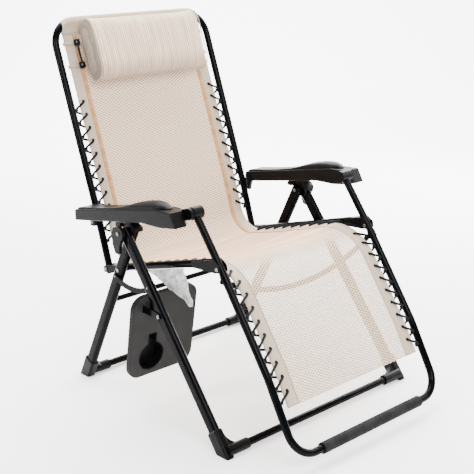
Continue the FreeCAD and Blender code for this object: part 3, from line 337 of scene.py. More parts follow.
def textile(name):
    """Open sling mesh that lets dark shapes behind it show: ribs crossed by staggered gaps.

    Zone x is the warm light on the seat, zone y the denser grey border, zone z the more open leg part.
    """
    look = Recipe(name, (0.6, 0.5, 0.42), 0.78, Sheen_Weight=0.15, Sheen_Roughness=0.45)
    cloth, across, along, warm, plain, loose = cloth_parts(look)
    gaps = look.times(ripple(look, across, 2 * RIB_PITCH), ripple(look, along, GAP_PITCH))
    ribs = ripple(look, across, RIB_PITCH)
    threads = look.times(ripple(look, across, THREAD_PITCH), ripple(look, along, THREAD_PITCH))
    uneven = look.noise(cloth, 90, 4, 0.6)
    slub = look.streaks(cloth, (9.0, 260.0, 1.0), 3)
    gap_mask = look.span(look.plus(gaps, look.times(uneven, 0.4)), 0.05, 0.85)
    open_share = look.times(look.rest_of(look.times(plain, 0.82)), look.rest_of(look.times(warm, 0.5)))
    color = look.mix(look.span(ribs, -1, 1), BEIGE_LOW, BEIGE_HIGH)
    color = look.mix(look.times(look.span(slub, 0.35, 0.75), 0.3), color, BEIGE_SLUB)
    color = look.mix(look.times(look.times(gap_mask, open_share), GAP_SHARE), color, GAP_BROWN)
    mottle = look.mix(look.span(look.noise(cloth, 420, 3), 0.35, 0.7), BORDER_DARK, BORDER_GREY)
    color = look.mix(look.times(plain, 0.88), color, mottle)
    streaks = look.streaks(cloth, (1.6, 34.0, 1.0), 4, 0.6)
    warm_color = look.mix(look.span(streaks, 0.40, 0.62), WARM_LOW, WARM_HIGH)
    color = look.mix(look.times(warm, look.span(streaks, 0.30, 0.70, 0.45, 0.9)), color, warm_color)
    color = look.mix(look.times(look.span(threads, -0.2, 1.0), 0.12), color, GAP_BROWN)
    height = look.plus(look.times(ribs, look.times(open_share, 0.5)),
                       look.times(gap_mask, look.times(open_share, -0.8)))
    height = look.plus(height, look.times(threads, 0.25))
    cover = look.math("MAXIMUM", look.times(plain, 0.97), look.times(warm, 0.93))
    cover = look.math("MAXIMUM", cover, look.span(loose, 0.0, 1.0, BACK_COVER, LEG_COVER))
    look.feed(look.shader.inputs["Alpha"], cover)
    return look.finish(color, look.span(uneven, 0.3, 0.7, 0.68, 0.86), look.bump(height, 0.0006, 0.55))


def pillow_textile():
    """Closed cloth of the pillow: ribs down its roll, plain unribbed ends painted dark as shade (zone y), painted
    shade below (zone z).
    """
    look = Recipe("pillow_cloth", (0.6, 0.5, 0.42), 0.8, Sheen_Weight=0.15, Sheen_Roughness=0.45)
    cloth, across, along, _, plain, underside_shade = cloth_parts(look)
    wander = look.streaks(cloth, (30.0, 7.0, 1.0), 3)
    bent = look.plus(across, look.times(look.math("SUBTRACT", wander, 0.5), 0.006))
    ribs = ripple(look, bent, PILLOW_RIB)
    broad = look.streaks(cloth, (75.0, 5.0, 1.0), 3, 0.6)
    knots = look.times(ripple(look, across, PILLOW_RIB), ripple(look, along, PILLOW_KNOT))
    depth = look.plus(look.times(look.span(ribs, -1.0, 0.2), 0.62),
                      look.span(broad, 0.30, 0.70, 0.0, 0.38))
    color = look.mix(depth, PILLOW_LOW_COLOR, PILLOW_HIGH_COLOR)
    color = look.mix(look.span(knots, 0.2, 1.0, 0.0, 0.20), color, GAP_BROWN)
    # Painted shade: the pillow's underside (zone z) is mixed towards a dark tan.
    color = look.mix(look.times(underside_shade, 0.55), color, UNDERSIDE_SHADE)
    # Plain end panels (zone y): no ribs, and painted dark as shade.
    color = look.mix(look.times(plain, 0.85), color, END_PANEL_SHADE)
    height = look.plus(look.times(ribs, 0.6), look.times(broad, 1.5))
    height = look.times(height, look.rest_of(plain))
    return look.finish(color, None, look.bump(height, 0.0007, 0.6))


def binding_tape():
    """Tan woven tape over the seams, with a rib across it; paler where zone y is high, with a painted shadow line
    along its outer edge where zone x is high.
    """
    look = Recipe("binding_tape", (0.60, 0.36, 0.19), 0.7, Sheen_Weight=0.2, Sheen_Roughness=0.4)
    cloth, _, along, dark, pale, _ = cloth_parts(look)
    rib = look.math("SINE", look.times(along, 2 * math.pi / TAPE_RIB))
    fade = look.noise(cloth, 40, 4)
    color = look.mix(look.span(fade, 0.3, 0.7), TAPE_DARK, TAPE_LIGHT)
    color = look.mix(pale, color, TAPE_PALE)
    color = look.mix(look.span(rib, -1, 1, 0.0, 0.25), color, (0.25, 0.13, 0.06))
    # Painted shadow line along the tape's outer edge (zone x).
    color = look.mix(look.times(dark, 0.95), color, (0.07, 0.036, 0.018))
    return look.finish(color, None, look.bump(rib, 0.0003, 0.5))


def sewing_thread():
    look = Recipe("sewing_thread", (0.50, 0.40, 0.32), 0.6, Sheen_Weight=0.2)
    twist = look.noise(look.object_place(), 1400, 2)
    color = look.mix(twist, (0.40, 0.31, 0.24), (0.62, 0.52, 0.44))
    return look.finish(color, None, look.bump(twist, 0.0002, 0.5))


def tag_paper():
    """Creased white film, greyed in patches by painted shade and darker painted shade along its folds; nothing is
    printed on it.
    """
    look = Recipe("tag_paper", (0.8, 0.8, 0.8), 0.35, Transmission_Weight=0.0)
    place = look.object_place()
    fold_shade = look.node("ShaderNodeTexVoronoi", {"Vector": place, "Scale": 55.0},
                      feature="DISTANCE_TO_EDGE").outputs["Distance"]
    mottle = look.noise(place, 60, 5, 0.65)
    # Painted shade: the white film is greyed in patches.
    color = look.mix(look.span(mottle, 0.35, 0.7), (0.26, 0.26, 0.26), (0.62, 0.62, 0.61))
    # Painted shade along the folds.
    color = look.mix(look.span(fold_shade, 0.0, 0.06, 0.35, 0.0), color, (0.20, 0.20, 0.20))
    return look.finish(color, look.span(mottle, 0.3, 0.7, 0.25, 0.5), look.bump(mottle, 0.002, 0.5))


PAINT = painted_tube()
BLACK_PLASTIC = moulded_plastic("black_plastic", BLACK_LOW, BLACK_HIGH, grain=1500, roughness=0.34)
PAD_PLASTIC = moulded_plastic("armrest_pad", PAD_LOW, PAD_HIGH, grain=900, roughness=0.40)
TRAY_PLASTIC = tray_plastic()
STEEL = rivet_steel()
FOAM = foam_grip()
ELASTIC = elastic_cord("black_elastic", (0.0010, 0.0010, 0.0012), (0.0036, 0.0036, 0.0040))
BAND = elastic_cord("beige_elastic", (0.31, 0.25, 0.19), (0.44, 0.36, 0.28))
TEXTILE = textile("beige_mesh")
PILLOW_CLOTH = pillow_textile()
TAPE = binding_tape()
THREAD = sewing_thread()
TAG = tag_paper()
PAINT_OF_SLOT = {
    "frame_paint": PAINT, "black_plastic": BLACK_PLASTIC, "armrest_pad": PAD_PLASTIC, "steel_rivet": STEEL,
    "beige_mesh": TEXTILE, "black_elastic": ELASTIC, "eyelet_ring": BLACK_PLASTIC,
    "buckle_plastic": BLACK_PLASTIC, "foam_sleeve": FOAM, "tray_plastic": TRAY_PLASTIC, "white_tag": TAG,
}
for node_name, node in NODES.items():
    node.data.materials.clear()
    node.data.materials.append(PAINT_OF_SLOT[SLOT_OF[node_name]])

# --- Mesh helpers --------------------------------------------------------------------


def place_object(name, data):
    made = bpy.data.objects.new(name, data)
    bpy.context.scene.collection.objects.link(made)
    return made


def shade(mesh, smooth=True):
    for polygon in mesh.polygons:
        polygon.use_smooth = smooth


def write_layers(mesh, cloth, zone):
    """Stores the two attributes that the textiles read, one triple for each vertex."""
    for title, values in (("cloth", cloth), ("zone", zone)):
        layer = mesh.attributes.get(title) or mesh.attributes.new(title, "FLOAT_VECTOR", "POINT")
        layer.data.foreach_set("vector", [number for value in values for number in value])


def sheet_faces(rows, columns):
    """Faces of a closed thin sheet: its front grid, its back grid and the rim between them."""
    wide, back = columns + 1, (rows + 1) * (columns + 1)
    faces = []
    for row in range(rows):
        for column in range(columns):
            low = row * wide + column
            faces.append((low, low + 1, low + wide + 1, low + wide))
            faces.append(tuple(back + index for index in (low, low + wide, low + wide + 1, low + 1)))
    rim = list(range(wide)) + [row * wide + columns for row in range(1, rows + 1)]
    rim += [rows * wide + column for column in range(columns - 1, -1, -1)]
    rim += [row * wide for row in range(rows - 1, 0, -1)]
    for here, there in zip(rim, rim[1:] + rim[:1]):
        faces.append((here, back + here, back + there, there))
    return faces


def evenly(start, stop, steps):
    """Both ends and the steps between them."""
    return [start + (stop - start) * index / steps for index in range(steps + 1)]


def spatial(flat, x=0):
    """A side-plane vector as a vector in space."""
    return Vector((x, flat.x, flat.y))


def settle(piece, body, slot, *nodes):
    """A rigid piece: the body it rides on, its slot (not used), and the CAD nodes that it replaces."""
    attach(piece, body)
    if nodes:
        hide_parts(*nodes)


class Pieces:
    """Collects vertices, faces and cloth attributes for one mesh."""

    def __init__(self):
        self.places, self.faces, self.cloth, self.zone = [], [], [], []

    def add(self, places, faces, cloth=None, zone=None):
        start = len(self.places)
        self.places += [tuple(place) for place in places]
        self.faces += [tuple(start + index for index in face) for face in faces]
        self.cloth += cloth or [(0, 0, 0)] * len(places)
        self.zone += zone or [(0, 0, 0)] * len(places)

    def rings(self, rings, cloth=None, zone=None, closed=False):
        """Joins rings of the same number of points; open runs get end caps."""
        count = len(rings[0])
        places = [place for ring in rings for place in ring]
        faces = []
        spans = len(rings) if closed else len(rings) - 1
        for row in range(spans):
            low, high = row * count, ((row + 1) % len(rings)) * count
            for index in range(count):
                beside = (index + 1) % count
                faces.append((low + index, low + beside, high + beside, high + index))
        if not closed:
            faces.append(tuple(range(count))[::-1])
            faces.append(tuple(range(len(places) - count, len(places))))
        self.add(places, faces, cloth, zone)

    def build(self, name, material, smooth=True):
        mesh = bpy.data.meshes.new(name)
        mesh.from_pydata(self.places, [], self.faces)
        write_layers(mesh, self.cloth, self.zone)
        mesh.materials.append(material)
        work = bmesh.new()
        work.from_mesh(mesh)
        bmesh.ops.recalc_face_normals(work, faces=work.faces)
        work.to_mesh(mesh)
        work.free()
        shade(mesh, smooth)
        return place_object(name, mesh)


def sharpen(piece, degrees=35):
    piece.data.set_sharp_from_angle(angle=math.radians(degrees))


def ellipse(centre, first, second, count=10):
    """A ring round centre with half axes first and second."""
    turns = [2 * math.pi * index / count for index in range(count)]
    return [centre + first * math.cos(turn) + second * math.sin(turn) for turn in turns]


def apply_modifiers(piece):
    """Replaces the piece's mesh by what its modifiers make of it."""
    graph = bpy.context.evaluated_depsgraph_get()
    mesh = bpy.data.meshes.new_from_object(piece.evaluated_get(graph))
    piece.modifiers.clear()
    piece.data = mesh


def cord_mesh(name, routes, radius, material):
    """Round cords along smooth lines through the routes' points, as one mesh."""
    curve = bpy.data.curves.new(name, "CURVE")
    curve.dimensions = "3D"
    curve.bevel_depth = radius
    curve.bevel_resolution = 2
    curve.resolution_u = 4
    curve.use_fill_caps = True
    for route in routes:
        spline = curve.splines.new("NURBS")
        spline.points.add(len(route) - 1)
        for point, place in zip(spline.points, route):
            point.co = (*place, 1)
        spline.order_u = 3
        spline.use_endpoint_u = True
    source = place_object(name + "_line", curve)
    graph = bpy.context.evaluated_depsgraph_get()
    mesh = bpy.data.meshes.new_from_object(source.evaluated_get(graph))
    bpy.data.objects.remove(source)
    mesh.materials.clear()
    mesh.materials.append(material)
    shade(mesh)
    return place_object(name, mesh)


# --- The sling's line, from the top bar to below the knee ------------------------------


def rounded_line(corners, radii, step):
    """Points at an even step along straight runs joined by tangent arcs."""
    dense = [corners[0]]
    for before, corner, after, radius in zip(corners, corners[1:], corners[2:], radii):
        back = (before - corner).normalized()
        ahead = (after - corner).normalized()
        half = back.angle(ahead) / 2
        reach = radius / math.tan(half)
        centre = corner + (back + ahead).normalized() * (radius / math.sin(half))
        entry, leave = corner + back * reach, corner + ahead * reach
        start, turn = entry - centre, (leave - centre).angle_signed(entry - centre)
        pieces = max(4, int(abs(turn) * radius / 0.002))
        for index in range(pieces + 1):
            dense.append(centre + Matrix.Rotation(turn * index / pieces, 2) @ start)
    dense.append(corners[-1])
    line, total = [dense[0]], 0.0
    for here, there in zip(dense, dense[1:]):
        length = (there - here).length
        while length > 1e-9 and total + length >= step * len(line):
            share = (step * len(line) - total) / length
            line.append(here.lerp(there, share))
        total += length
    return line


LINE_STEP = 0.001
leg_end = LEG_BEND + (FOOT_BAR - LEG_BEND) * ((LEG_BEND.y - SLING_BOTTOM) / (LEG_BEND.y - FOOT_BAR.y))
LINE = rounded_line([TOP_BAR, BACK_BEND, BACK_HINGE, RAIL_FRONT, LEG_BEND, leg_end],
                    [SOFT_BEND, CORNER_ROUND, KNEE_ROUND, SOFT_BEND], LINE_STEP)
LENGTH = (len(LINE) - 1) * LINE_STEP


def along_line(where):
    """Place, way and facing of the sling's line at a distance from the top bar."""
    index = min(max(where / LINE_STEP, 0), len(LINE) - 1.001)
    low = int(index)
    place = LINE[low].lerp(LINE[low + 1], index - low)
    first, last = max(low - 2, 0), min(low + 3, len(LINE) - 1)
    way = (LINE[last] - LINE[first]).normalized()
    return place, way, Vector((way.y, -way.x))


def first_where(test):
    return next(index * LINE_STEP for index in range(len(LINE)) if test(LINE[index]))


SEAT_REAR = first_where(lambda place: place.x < 0.215)
SEAT_MIDDLE = first_where(lambda place: place.x < 0.020)
KNEE = first_where(lambda place: place.x < LEG_HINGE.x)
BACK_SAG, SEAT_SAG, UNEVEN_SAG = 0.005, 0.018, 0.0009
BACK_SAG_RISE = (0.05, 0.20)                              # stretches along the line, as below
SEAT_SAG_SPAN = (SEAT_REAR - 0.16, KNEE + 0.05)
WARM_RISE = (SEAT_REAR - 0.085, SEAT_REAR + 0.020)
WARM_FALL = (KNEE - 0.015, KNEE - 0.115)
OPEN_RISE = (KNEE - 0.06, KNEE + 0.03)
SCALLOP = 0.0012


def share_of(value, low, high):
    return min(max((value - low) / (high - low), 0.0), 1.0)


def smooth(value, low, high):
    share = share_of(value, low, high)
    return share * share * (3 - 2 * share)


def hump(value, low, high):
    """0 at low and high, 1 half-way."""
    return math.sin(math.pi * share_of(value, low, high)) ** 2


def hollow(across, along):
    """How far the sling hangs behind its line, which is the line of its edges."""
    bow = 1 - (across / SLING_HALF) ** 2
    depth = BACK_SAG * bow * smooth(along, *BACK_SAG_RISE)
    depth += SEAT_SAG * bow * hump(along, *SEAT_SAG_SPAN)
    return depth + UNEVEN_SAG * noise.noise(Vector((across * 9, along * 5, 0.3)))


def edge_scallop(across, along):
    """The border is drawn out a little at each eyelet."""
    share = smooth(abs(across), PIPING_X, SLING_HALF)
    return share * SCALLOP * math.cos(2 * math.pi * (along - FIRST_BACK_EYELET) / LACE_PITCH)


def on_sling(across, along, lift=0.0):
    place, _, facing = along_line(along)
    flat = place + facing * (lift - hollow(across, along))
    return spatial(flat, across + math.copysign(edge_scallop(across, along), across))


def zone_of(across, along):
    """Warm light on the seat, border, and open leg part, as the textile reads them."""
    warm = smooth(along, *WARM_RISE) * smooth(along, *WARM_FALL)
    plain = smooth(abs(across), PIPING_X - 0.001, PIPING_X + 0.001)
    return (warm * (1 - 0.6 * plain), plain, smooth(along, *OPEN_RISE))


# Eyelets: distances along the line, for the back, the seat and the leg part.
FIRST_BACK_EYELET = 0.2476
BACK_EYELETS = [FIRST_BACK_EYELET + LACE_PITCH * index for index in range(11)]
SEAT_EYELETS = [SEAT_REAR + 0.018 + LACE_PITCH * index for index in range(9)]
LEG_FIRST = first_where(lambda place: place.x < -0.2 and place.y < 0.454)
LEG_EYELETS = [LEG_FIRST - LACE_PITCH + LEG_PITCH * index for index in range(10)]
UPPER_CUT = (SEAM_DOWN - 0.002, SEAT_MIDDLE)
LOWER_CUT = (SEAT_MIDDLE, LENGTH)

SHEET_COLUMNS, SHEET_ROW = 60, 0.007
SHEET_HALF_THICK, BORDER_THICKER, HEM_THICKER = 0.0008, 0.0007, 0.0006
HEM_RISE = (LENGTH - 0.024, LENGTH - 0.021)


def sling_sheet(name, cut):
    """One closed thin sheet: a front and a back grid joined along their borders."""
    rows = round((cut[1] - cut[0]) / SHEET_ROW)
    places, cloth, zone = [], [], []
    for layer in (1, -1):
        for along in evenly(*cut, rows):
            for across in evenly(-SLING_HALF, SLING_HALF, SHEET_COLUMNS):
                thick = SHEET_HALF_THICK + BORDER_THICKER * smooth(abs(across), PIPING_X, PIPING_X + 0.004)
                thick += HEM_THICKER * smooth(along, *HEM_RISE)
                places.append(on_sling(across, along, layer * thick))
                cloth.append((across, along, 0))
                zone.append(zone_of(across, along))
    pieces = Pieces()
    pieces.add(places, sheet_faces(rows, SHEET_COLUMNS), cloth, zone)
    return pieces.build(name, TEXTILE)


TAPE_HALF, TAPE_NARROWER = 0.0080, 0.0056
TAPE_LIFT, TAPE_FLATTER = 0.0021, 0.0008
TAPE_STEP, TAPE_SIDES = 0.008, 16


def binding(name, cut):
    """Tan tape over the border's seam, narrower and paler below the knee."""
    pieces = Pieces()
    for side in SIDES:
        rings, cloth, zone = [], [], []
        for along in evenly(*cut, round((cut[1] - cut[0]) / TAPE_STEP)):
            pale = smooth(along, SEAT_REAR, KNEE)
            centre = on_sling(side * PIPING_X, along, 0.0011)
            across = Vector((side * (TAPE_HALF - TAPE_NARROWER * pale), 0, 0))
            up = spatial(along_line(along)[2]) * (TAPE_LIFT - TAPE_FLATTER * pale)
            rings.append(ellipse(centre, across, up, TAPE_SIDES))
            cloth += [(0, along, 0)] * TAPE_SIDES
            # Zone x marks the tape's outer edge for its painted shadow line; zone y is the paler tape below the
            # knee.
            zone += [(float(index in (0, 1, TAPE_SIDES - 1)), pale, 0) for index in range(TAPE_SIDES)]
        pieces.rings(rings, cloth, zone)
    return pieces.build(name, TAPE)


STITCH_HALF, STITCH_RISE = 0.0004, 0.0005
STITCH_PITCH, STITCH_LENGTH = 0.0055, 0.0033
STITCH_ROWS = ((-0.0075, 0.0009), (0.0070, 0.0015), (0.0370, 0.0015))     # beside the piping, and lift
HEM_STITCHES = 95
LOWER_HEM = (LENGTH - 0.019, LENGTH - 0.004)
UPPER_HEM = (SEAM_DOWN + 0.001, SEAM_DOWN + 0.006)


def facing_near(place):
    """The way the sling faces near a place, from its closest point on the line."""
    flat = side_plane(place)
    nearest = min(range(0, len(LINE), 40), key=lambda index: (LINE[index] - flat).length)
    return spatial(along_line(nearest * LINE_STEP)[2])


def stitch_runs(name, runs):
    """Short raised stitches along runs of (place, place) pairs."""
    pieces = Pieces()
    for start, stop in runs:
        up = facing_near(start)
        side = (stop - start).normalized().cross(up) * STITCH_HALF
        middle = (start + stop) / 2
        places = [start, middle + side, middle + up * STITCH_RISE, middle - side, stop]
        pieces.add(places, [(0, 1, 2), (0, 2, 3), (1, 4, 2), (2, 4, 3), (0, 3, 4, 1)])
    return pieces.build(name, THREAD, smooth=False)


def sling_stitches(name, cut):
    """Two rows beside the tape, one near the edge, and the hem's rows."""
    runs = []
    count = round((cut[1] - cut[0]) / STITCH_PITCH)
    for side in SIDES:
        for offset, lift in STITCH_ROWS:
            across = side * (PIPING_X + offset)
            for index in range(count):
                along = cut[0] + (index + 0.2) * (cut[1] - cut[0]) / count
                runs.append((on_sling(across, along, lift), on_sling(across, along + STITCH_LENGTH, lift)))
    for along in LOWER_HEM if cut is LOWER_CUT else UPPER_HEM:
        for across in evenly(0.004 - SLING_HALF, SLING_HALF - 0.004, HEM_STITCHES)[:-1]:
            runs.append((on_sling(across, along, 0.0015), on_sling(across + 0.0036, along, 0.0015)))
    return stitch_runs(name, runs)


EYELET_RADIUS, EYELET_LIFT = 0.0040, 0.0018
EYELET_WIRE, EYELET_FLAT = 0.0015, 0.0009


def eyelets(name, places):
    """Small moulded rings on both faces of the border."""
    pieces = Pieces()
    for along in places:
        _, way, facing = along_line(along)
        for side in SIDES:
            for layer in (1, -1):
                centre = on_sling(side * EYELET_X, along, layer * EYELET_LIFT)
                rings = []
                for out in ellipse(Vector(), Vector((1, 0, 0)), spatial(way), 14):
                    rings.append(ellipse(centre + out * EYELET_RADIUS, out * EYELET_WIRE,
                                         spatial(facing) * EYELET_FLAT, 6))
                pieces.rings(rings, closed=True)
    return pieces.build(name, BLACK_PLASTIC)


TUBE_CONTACT = TUBE_X - TUBE_RADIUS - 0.0018
CONTACT_DOWN = 0.024
STUD_PROFILE = ((TUBE_X - TUBE_RADIUS + 0.002, 0.0026), (TUBE_CONTACT - 0.0040, 0.0026),
                (TUBE_CONTACT - 0.0044, 0.0050), (TUBE_CONTACT - 0.0066, 0.0044))
# A lace's stations as (out from the eyelet's or the contact's x, down the line, lift off the sling).
LACE_START = ((-0.004, -0.004, -0.0045),)
LACE_BEHIND = ((0.006, 0, -0.0040), (0, 0, -0.0035))
LACE_OUT = ((0, 0, 0.0005), (-0.0005, 0.0005, 0.0048), (0.006, 0.006, 0.0052))
LACE_ROUND_STUD = ((-0.002, -0.002, 0.0050), (0.0012, 0.002, 0.0020), (0.0010, 0.0045, -0.0030),
                   (-0.004, 0.006, -0.0052))
LACE_STRAY = 0.003


def lace_routes(places, dice):
    """A cord for each side: out of an eyelet, round a stud on the tube, back behind the next."""
    routes = []
    for side in SIDES:
        route = []
        for index, along in enumerate(places):
            for out, down, lift in (LACE_BEHIND if index else LACE_START) + LACE_OUT:
                route.append(on_sling(side * (EYELET_X + out), along + down, lift))
            contact = along + CONTACT_DOWN + dice.uniform(-LACE_STRAY, LACE_STRAY)
            route.append(on_sling(side * (TUBE_CONTACT - 0.010), contact - 0.007, 0.0048))
            for out, down, lift in LACE_ROUND_STUD:
                place, _, facing = along_line(contact + down)
                route.append(spatial(place + facing * lift, side * (TUBE_CONTACT + out)))
        routes.append(route)
    return routes


def lace_studs(name, places):
    """Short studs on the tube's inner side, which hold the cord."""
    pieces = Pieces()
    for along in places:
        place, way, facing = along_line(along + CONTACT_DOWN)
        up, down = spatial(facing), spatial(way)
        for side in SIDES:
            pieces.rings([ellipse(spatial(place, side * x), up * radius, down * radius, 12)
                          for x, radius in STUD_PROFILE])
    piece = pieces.build(name, BLACK_PLASTIC)
    sharpen(piece)
    return piece


SLEEVE_WRAP = math.pi * 0.80     # how far round the bar it goes, each way
SLEEVE_WAIST = 0.72              # where the two layers close on each other, as a share of the tail
SLEEVE_STOPS, SLEEVE_COLUMNS = 22, 72
SLEEVE_OUTSIDE = (0.0134, 0.0021, 0.0045)    # radius, half gap at the tail's end and at its waist
SLEEVE_INSIDE = (0.0116, 0.0004, 0.0028)
SLEEVE_RUCK = 0.0005


def sleeve_section(tail, radius, edge, waist):
    """From the tail's front edge round the bar to its back edge, as (up, forward) points."""
    front = [Vector((-tail, edge)), Vector((-tail * SLEEVE_WAIST, waist))]
    bar = [Vector((math.cos(turn), math.sin(turn))) * radius
           for turn in evenly(SLEEVE_WRAP, -SLEEVE_WRAP, SLEEVE_STOPS)]
    return front + bar + [Vector((spot.x, -spot.y)) for spot in front[::-1]]


def top_sleeve():
    """The sling's sleeve over the top bar, which follows the bar into its corners."""
    pieces = Pieces()
    rings, cloth = [], []
    for across in evenly(-SLING_HALF, SLING_HALF, SLEEVE_COLUMNS):
        into_bend = max(0.0, abs(across) - (TUBE_X - TOP_CORNER_RADIUS))
        drop = TOP_CORNER_RADIUS - math.sqrt(TOP_CORNER_RADIUS ** 2 - into_bend ** 2)
        ruck = SLEEVE_RUCK * noise.noise(Vector((across * 60, 1.7, 0)))
        tail = SEAM_DOWN + 0.004 - drop
        section = sleeve_section(tail, *SLEEVE_OUTSIDE) + sleeve_section(tail, *SLEEVE_INSIDE)[::-1]
        rings.append([spatial(TOP_BAR + BACK_UP * (spot.x - drop + ruck) + BACK_FACE * spot.y, across)
                      for spot in section])
        cloth += [(across, spot.x + spot.y * 0.5, 0) for spot in section]
    pieces.rings(rings, cloth, [(0, 0.9, 0)] * len(cloth))
    return pieces.build("top_sleeve", TEXTILE)


BACK_TO_SEAT = {"start": (0, 0.300, 0.462), "end": (0, 0.185, 0.388)}
SEAT_TO_LEG = {"start": (0, -0.135, 0.480), "end": (0, -0.290, 0.425)}


# Each half of the sling: its cut and eyelets, its laces, the bodies that it joins and how it blends
# between them, the tube that it is laced to, and the CAD nodes that sling, eyelets and laces replace.
HALVES = (
    ("upper", UPPER_CUT, BACK_EYELETS + [along for along in SEAT_EYELETS if along < SEAT_MIDDLE],
     "back", BACK_EYELETS, ("back", "seat"), BACK_TO_SEAT, "back_frame",
     ("back_sling", "seat_sling"), ("back_eyelets", "seat_eyelets"), "back_laces"),
    ("lower", LOWER_CUT, [along for along in SEAT_EYELETS if along >= SEAT_MIDDLE] + LEG_EYELETS,
     "leg", LEG_EYELETS, ("seat", "leg_rest"), SEAT_TO_LEG, "leg_frame",
     ("leg_sling",), ("leg_eyelets",), "leg_laces"),
)


def make_sling():
    dice = random.Random(7)
    for half, cut, places, laced, lace_places, bodies, hinge, tube, slings, rings, cords in HALVES:
        sling = sling_sheet("sling_" + half, cut)
        tape = binding("binding_" + half, cut)
        stitches = sling_stitches("stitches_" + half, cut)
        eyes = eyelets("eyelets_" + half, places)
        laces = cord_mesh("laces_" + laced, lace_routes(lace_places, dice), LACE_RADIUS, ELASTIC)
        for piece, slot in ((sling, "beige_mesh"), (tape, "beige_mesh"), (stitches, "beige_mesh"),
                            (eyes, "eyelet_ring"), (laces, "black_elastic")):
            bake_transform(piece)
        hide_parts(*slings)
        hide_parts(*rings)
        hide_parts(cords)
    seat_laces = cord_mesh("laces_seat", lace_routes(SEAT_EYELETS, dice), LACE_RADIUS, ELASTIC)
    settle(seat_laces, "seat", "black_elastic", "seat_laces")
    sleeve = top_sleeve()
    settle(sleeve, "back", "beige_mesh", "top_hem")
    for body, places in (("back", BACK_EYELETS), ("seat", SEAT_EYELETS), ("leg_rest", LEG_EYELETS)):
        settle(lace_studs("lace_studs_" + body, places), body, "black_plastic")


# --- Pillow -----------------------------------------------------------------------------

PILLOW_LOW, PILLOW_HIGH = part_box("pillow")
PILLOW_HALF = (PILLOW_HIGH.x - PILLOW_LOW.x) / 2
PILLOW_SHIFT = 0.006
PILLOW_CENTRE = (PILLOW_LOW + PILLOW_HIGH) / 2 - Vector((PILLOW_SHIFT, 0, 0))
PILLOW_RISE = 0.200
PILLOW_DEPTH = 0.086
PILLOW_SWELL = 0.0025            # the simulation swells it by about this much
PILLOW_VOXEL = 0.006
PILLOW_TRAVEL = 0.0045
FRONT_POWER, REAR_POWER, RISE_POWER = 3.2, 4.5, 3.0      # how square the section is
PUCKERS, PUCKER_DEPTH, PUCKER_REACH = 46, 0.0011, 0.022
PILLOW_UNEVEN = 0.0030
PILLOW_GIRTH = 0.105             # cloth length for each radian round it
END_RISE = (0.016, 0.009)
# Heights over which the painted shade on the pillow's underside fades in.
UNDERSIDE_SHADE_RISE = (0.030, 0.095)
PILLOW_AXES = Matrix(((1, 0, 0), (0, BACK_FACE.x, BACK_UP.x), (0, BACK_FACE.y, BACK_UP.y))).to_4x4()
PILLOW_PLACE = Matrix.Translation(PILLOW_CENTRE) @ PILLOW_AXES


def pillow_section(turn, shrink):
    """The pillow's section: flat behind, full in front. Local y forward, z up the back."""
    forward, up = math.cos(turn), math.sin(turn)
    square = 2 / (FRONT_POWER if forward > 0 else REAR_POWER)
    y = math.copysign(abs(forward) ** square, forward) * (PILLOW_DEPTH / 2 - shrink)
    z = math.copysign(abs(up) ** (2 / RISE_POWER), up) * (PILLOW_RISE / 2 - shrink)
    return y, z


def make_pillow():
    pieces = Pieces()
    half = PILLOW_HALF - 0.003
    profile = ((-half, 0.012), (-half + 0.003, PILLOW_SWELL + 0.001), (half - 0.003, PILLOW_SWELL + 0.001),
               (half, 0.012))
    pieces.rings([[Vector((x, *pillow_section(2 * math.pi * index / 48, shrink))) for index in range(48)]
                  for x, shrink in profile])
    pillow = pieces.build("pillow_roll", PILLOW_CLOTH)
    remesh = pillow.modifiers.new("even", "REMESH")
    remesh.mode = "VOXEL"
    remesh.voxel_size = PILLOW_VOXEL
    apply_modifiers(pillow)
    inflate(pillow, PILLOW_TRAVEL)
    soften = pillow.modifiers.new("finer", "SUBSURF")
    soften.levels = 1
    soften.render_levels = 1
    apply_modifiers(pillow)
    dress_pillow(pillow)
    return pillow


def inflate(piece, most):
    """Cloth simulation under pressure, with each point's travel capped."""
    rest = [vertex.co.copy() for vertex in piece.data.vertices]
    cloth = piece.modifiers.new("air", "CLOTH")
    cloth.settings.use_pressure = True
    cloth.settings.uniform_pressure_force = 4.0
    cloth.settings.effector_weights.gravity = 0.0
    cloth.settings.quality = 5
    cloth.settings.tension_stiffness = 20
    cloth.settings.bending_stiffness = 0.2
    scene = bpy.context.scene
    cloth.point_cache.frame_start = 1
    cloth.point_cache.frame_end = 20
    for number in range(1, 21):
        scene.frame_set(number)
    apply_modifiers(piece)
    scene.frame_set(1)
    for vertex, start in zip(piece.data.vertices, rest):
        travel = vertex.co - start
        if travel.length > most:
            vertex.co = start + travel.normalized() * most


def dress_pillow(pillow):
    """Seam dips, stretch wrinkles at the ends, and the cloth attributes."""
    mesh = pillow.data
    cloth, zone = [], []
    for vertex in mesh.vertices:
        x, y, z = vertex.co
        turn = math.atan2(z / PILLOW_RISE, y / PILLOW_DEPTH)
        to_end = PILLOW_HALF - abs(x)
        front = smooth(y, -0.02, 0.02)
        wander = 2 * noise.noise(Vector((turn * 2, x, 0)))
        pucker = PUCKER_DEPTH * math.sin(turn * PUCKERS + wander) * math.exp(-(to_end / PUCKER_REACH) ** 2)
        sag = PILLOW_UNEVEN * noise.noise(Vector((x * 7, turn * 1.5, 0.4))) * front
        out = Vector((0, y / PILLOW_DEPTH, z / PILLOW_RISE)).normalized()
        vertex.co += out * (pucker + sag) * smooth(to_end, 0.002, 0.012)
        cloth.append((x, turn * PILLOW_GIRTH, 0))
        # Zone y marks the plain end panels, which also get painted shade; zone z marks the underside, which gets
        # painted shade.
        zone.append((0, smooth(to_end, *END_RISE), smooth(-z, *UNDERSIDE_SHADE_RISE)))
    write_layers(mesh, cloth, zone)
    mesh.materials.clear()
    mesh.materials.append(PILLOW_CLOTH)
    shade(mesh)


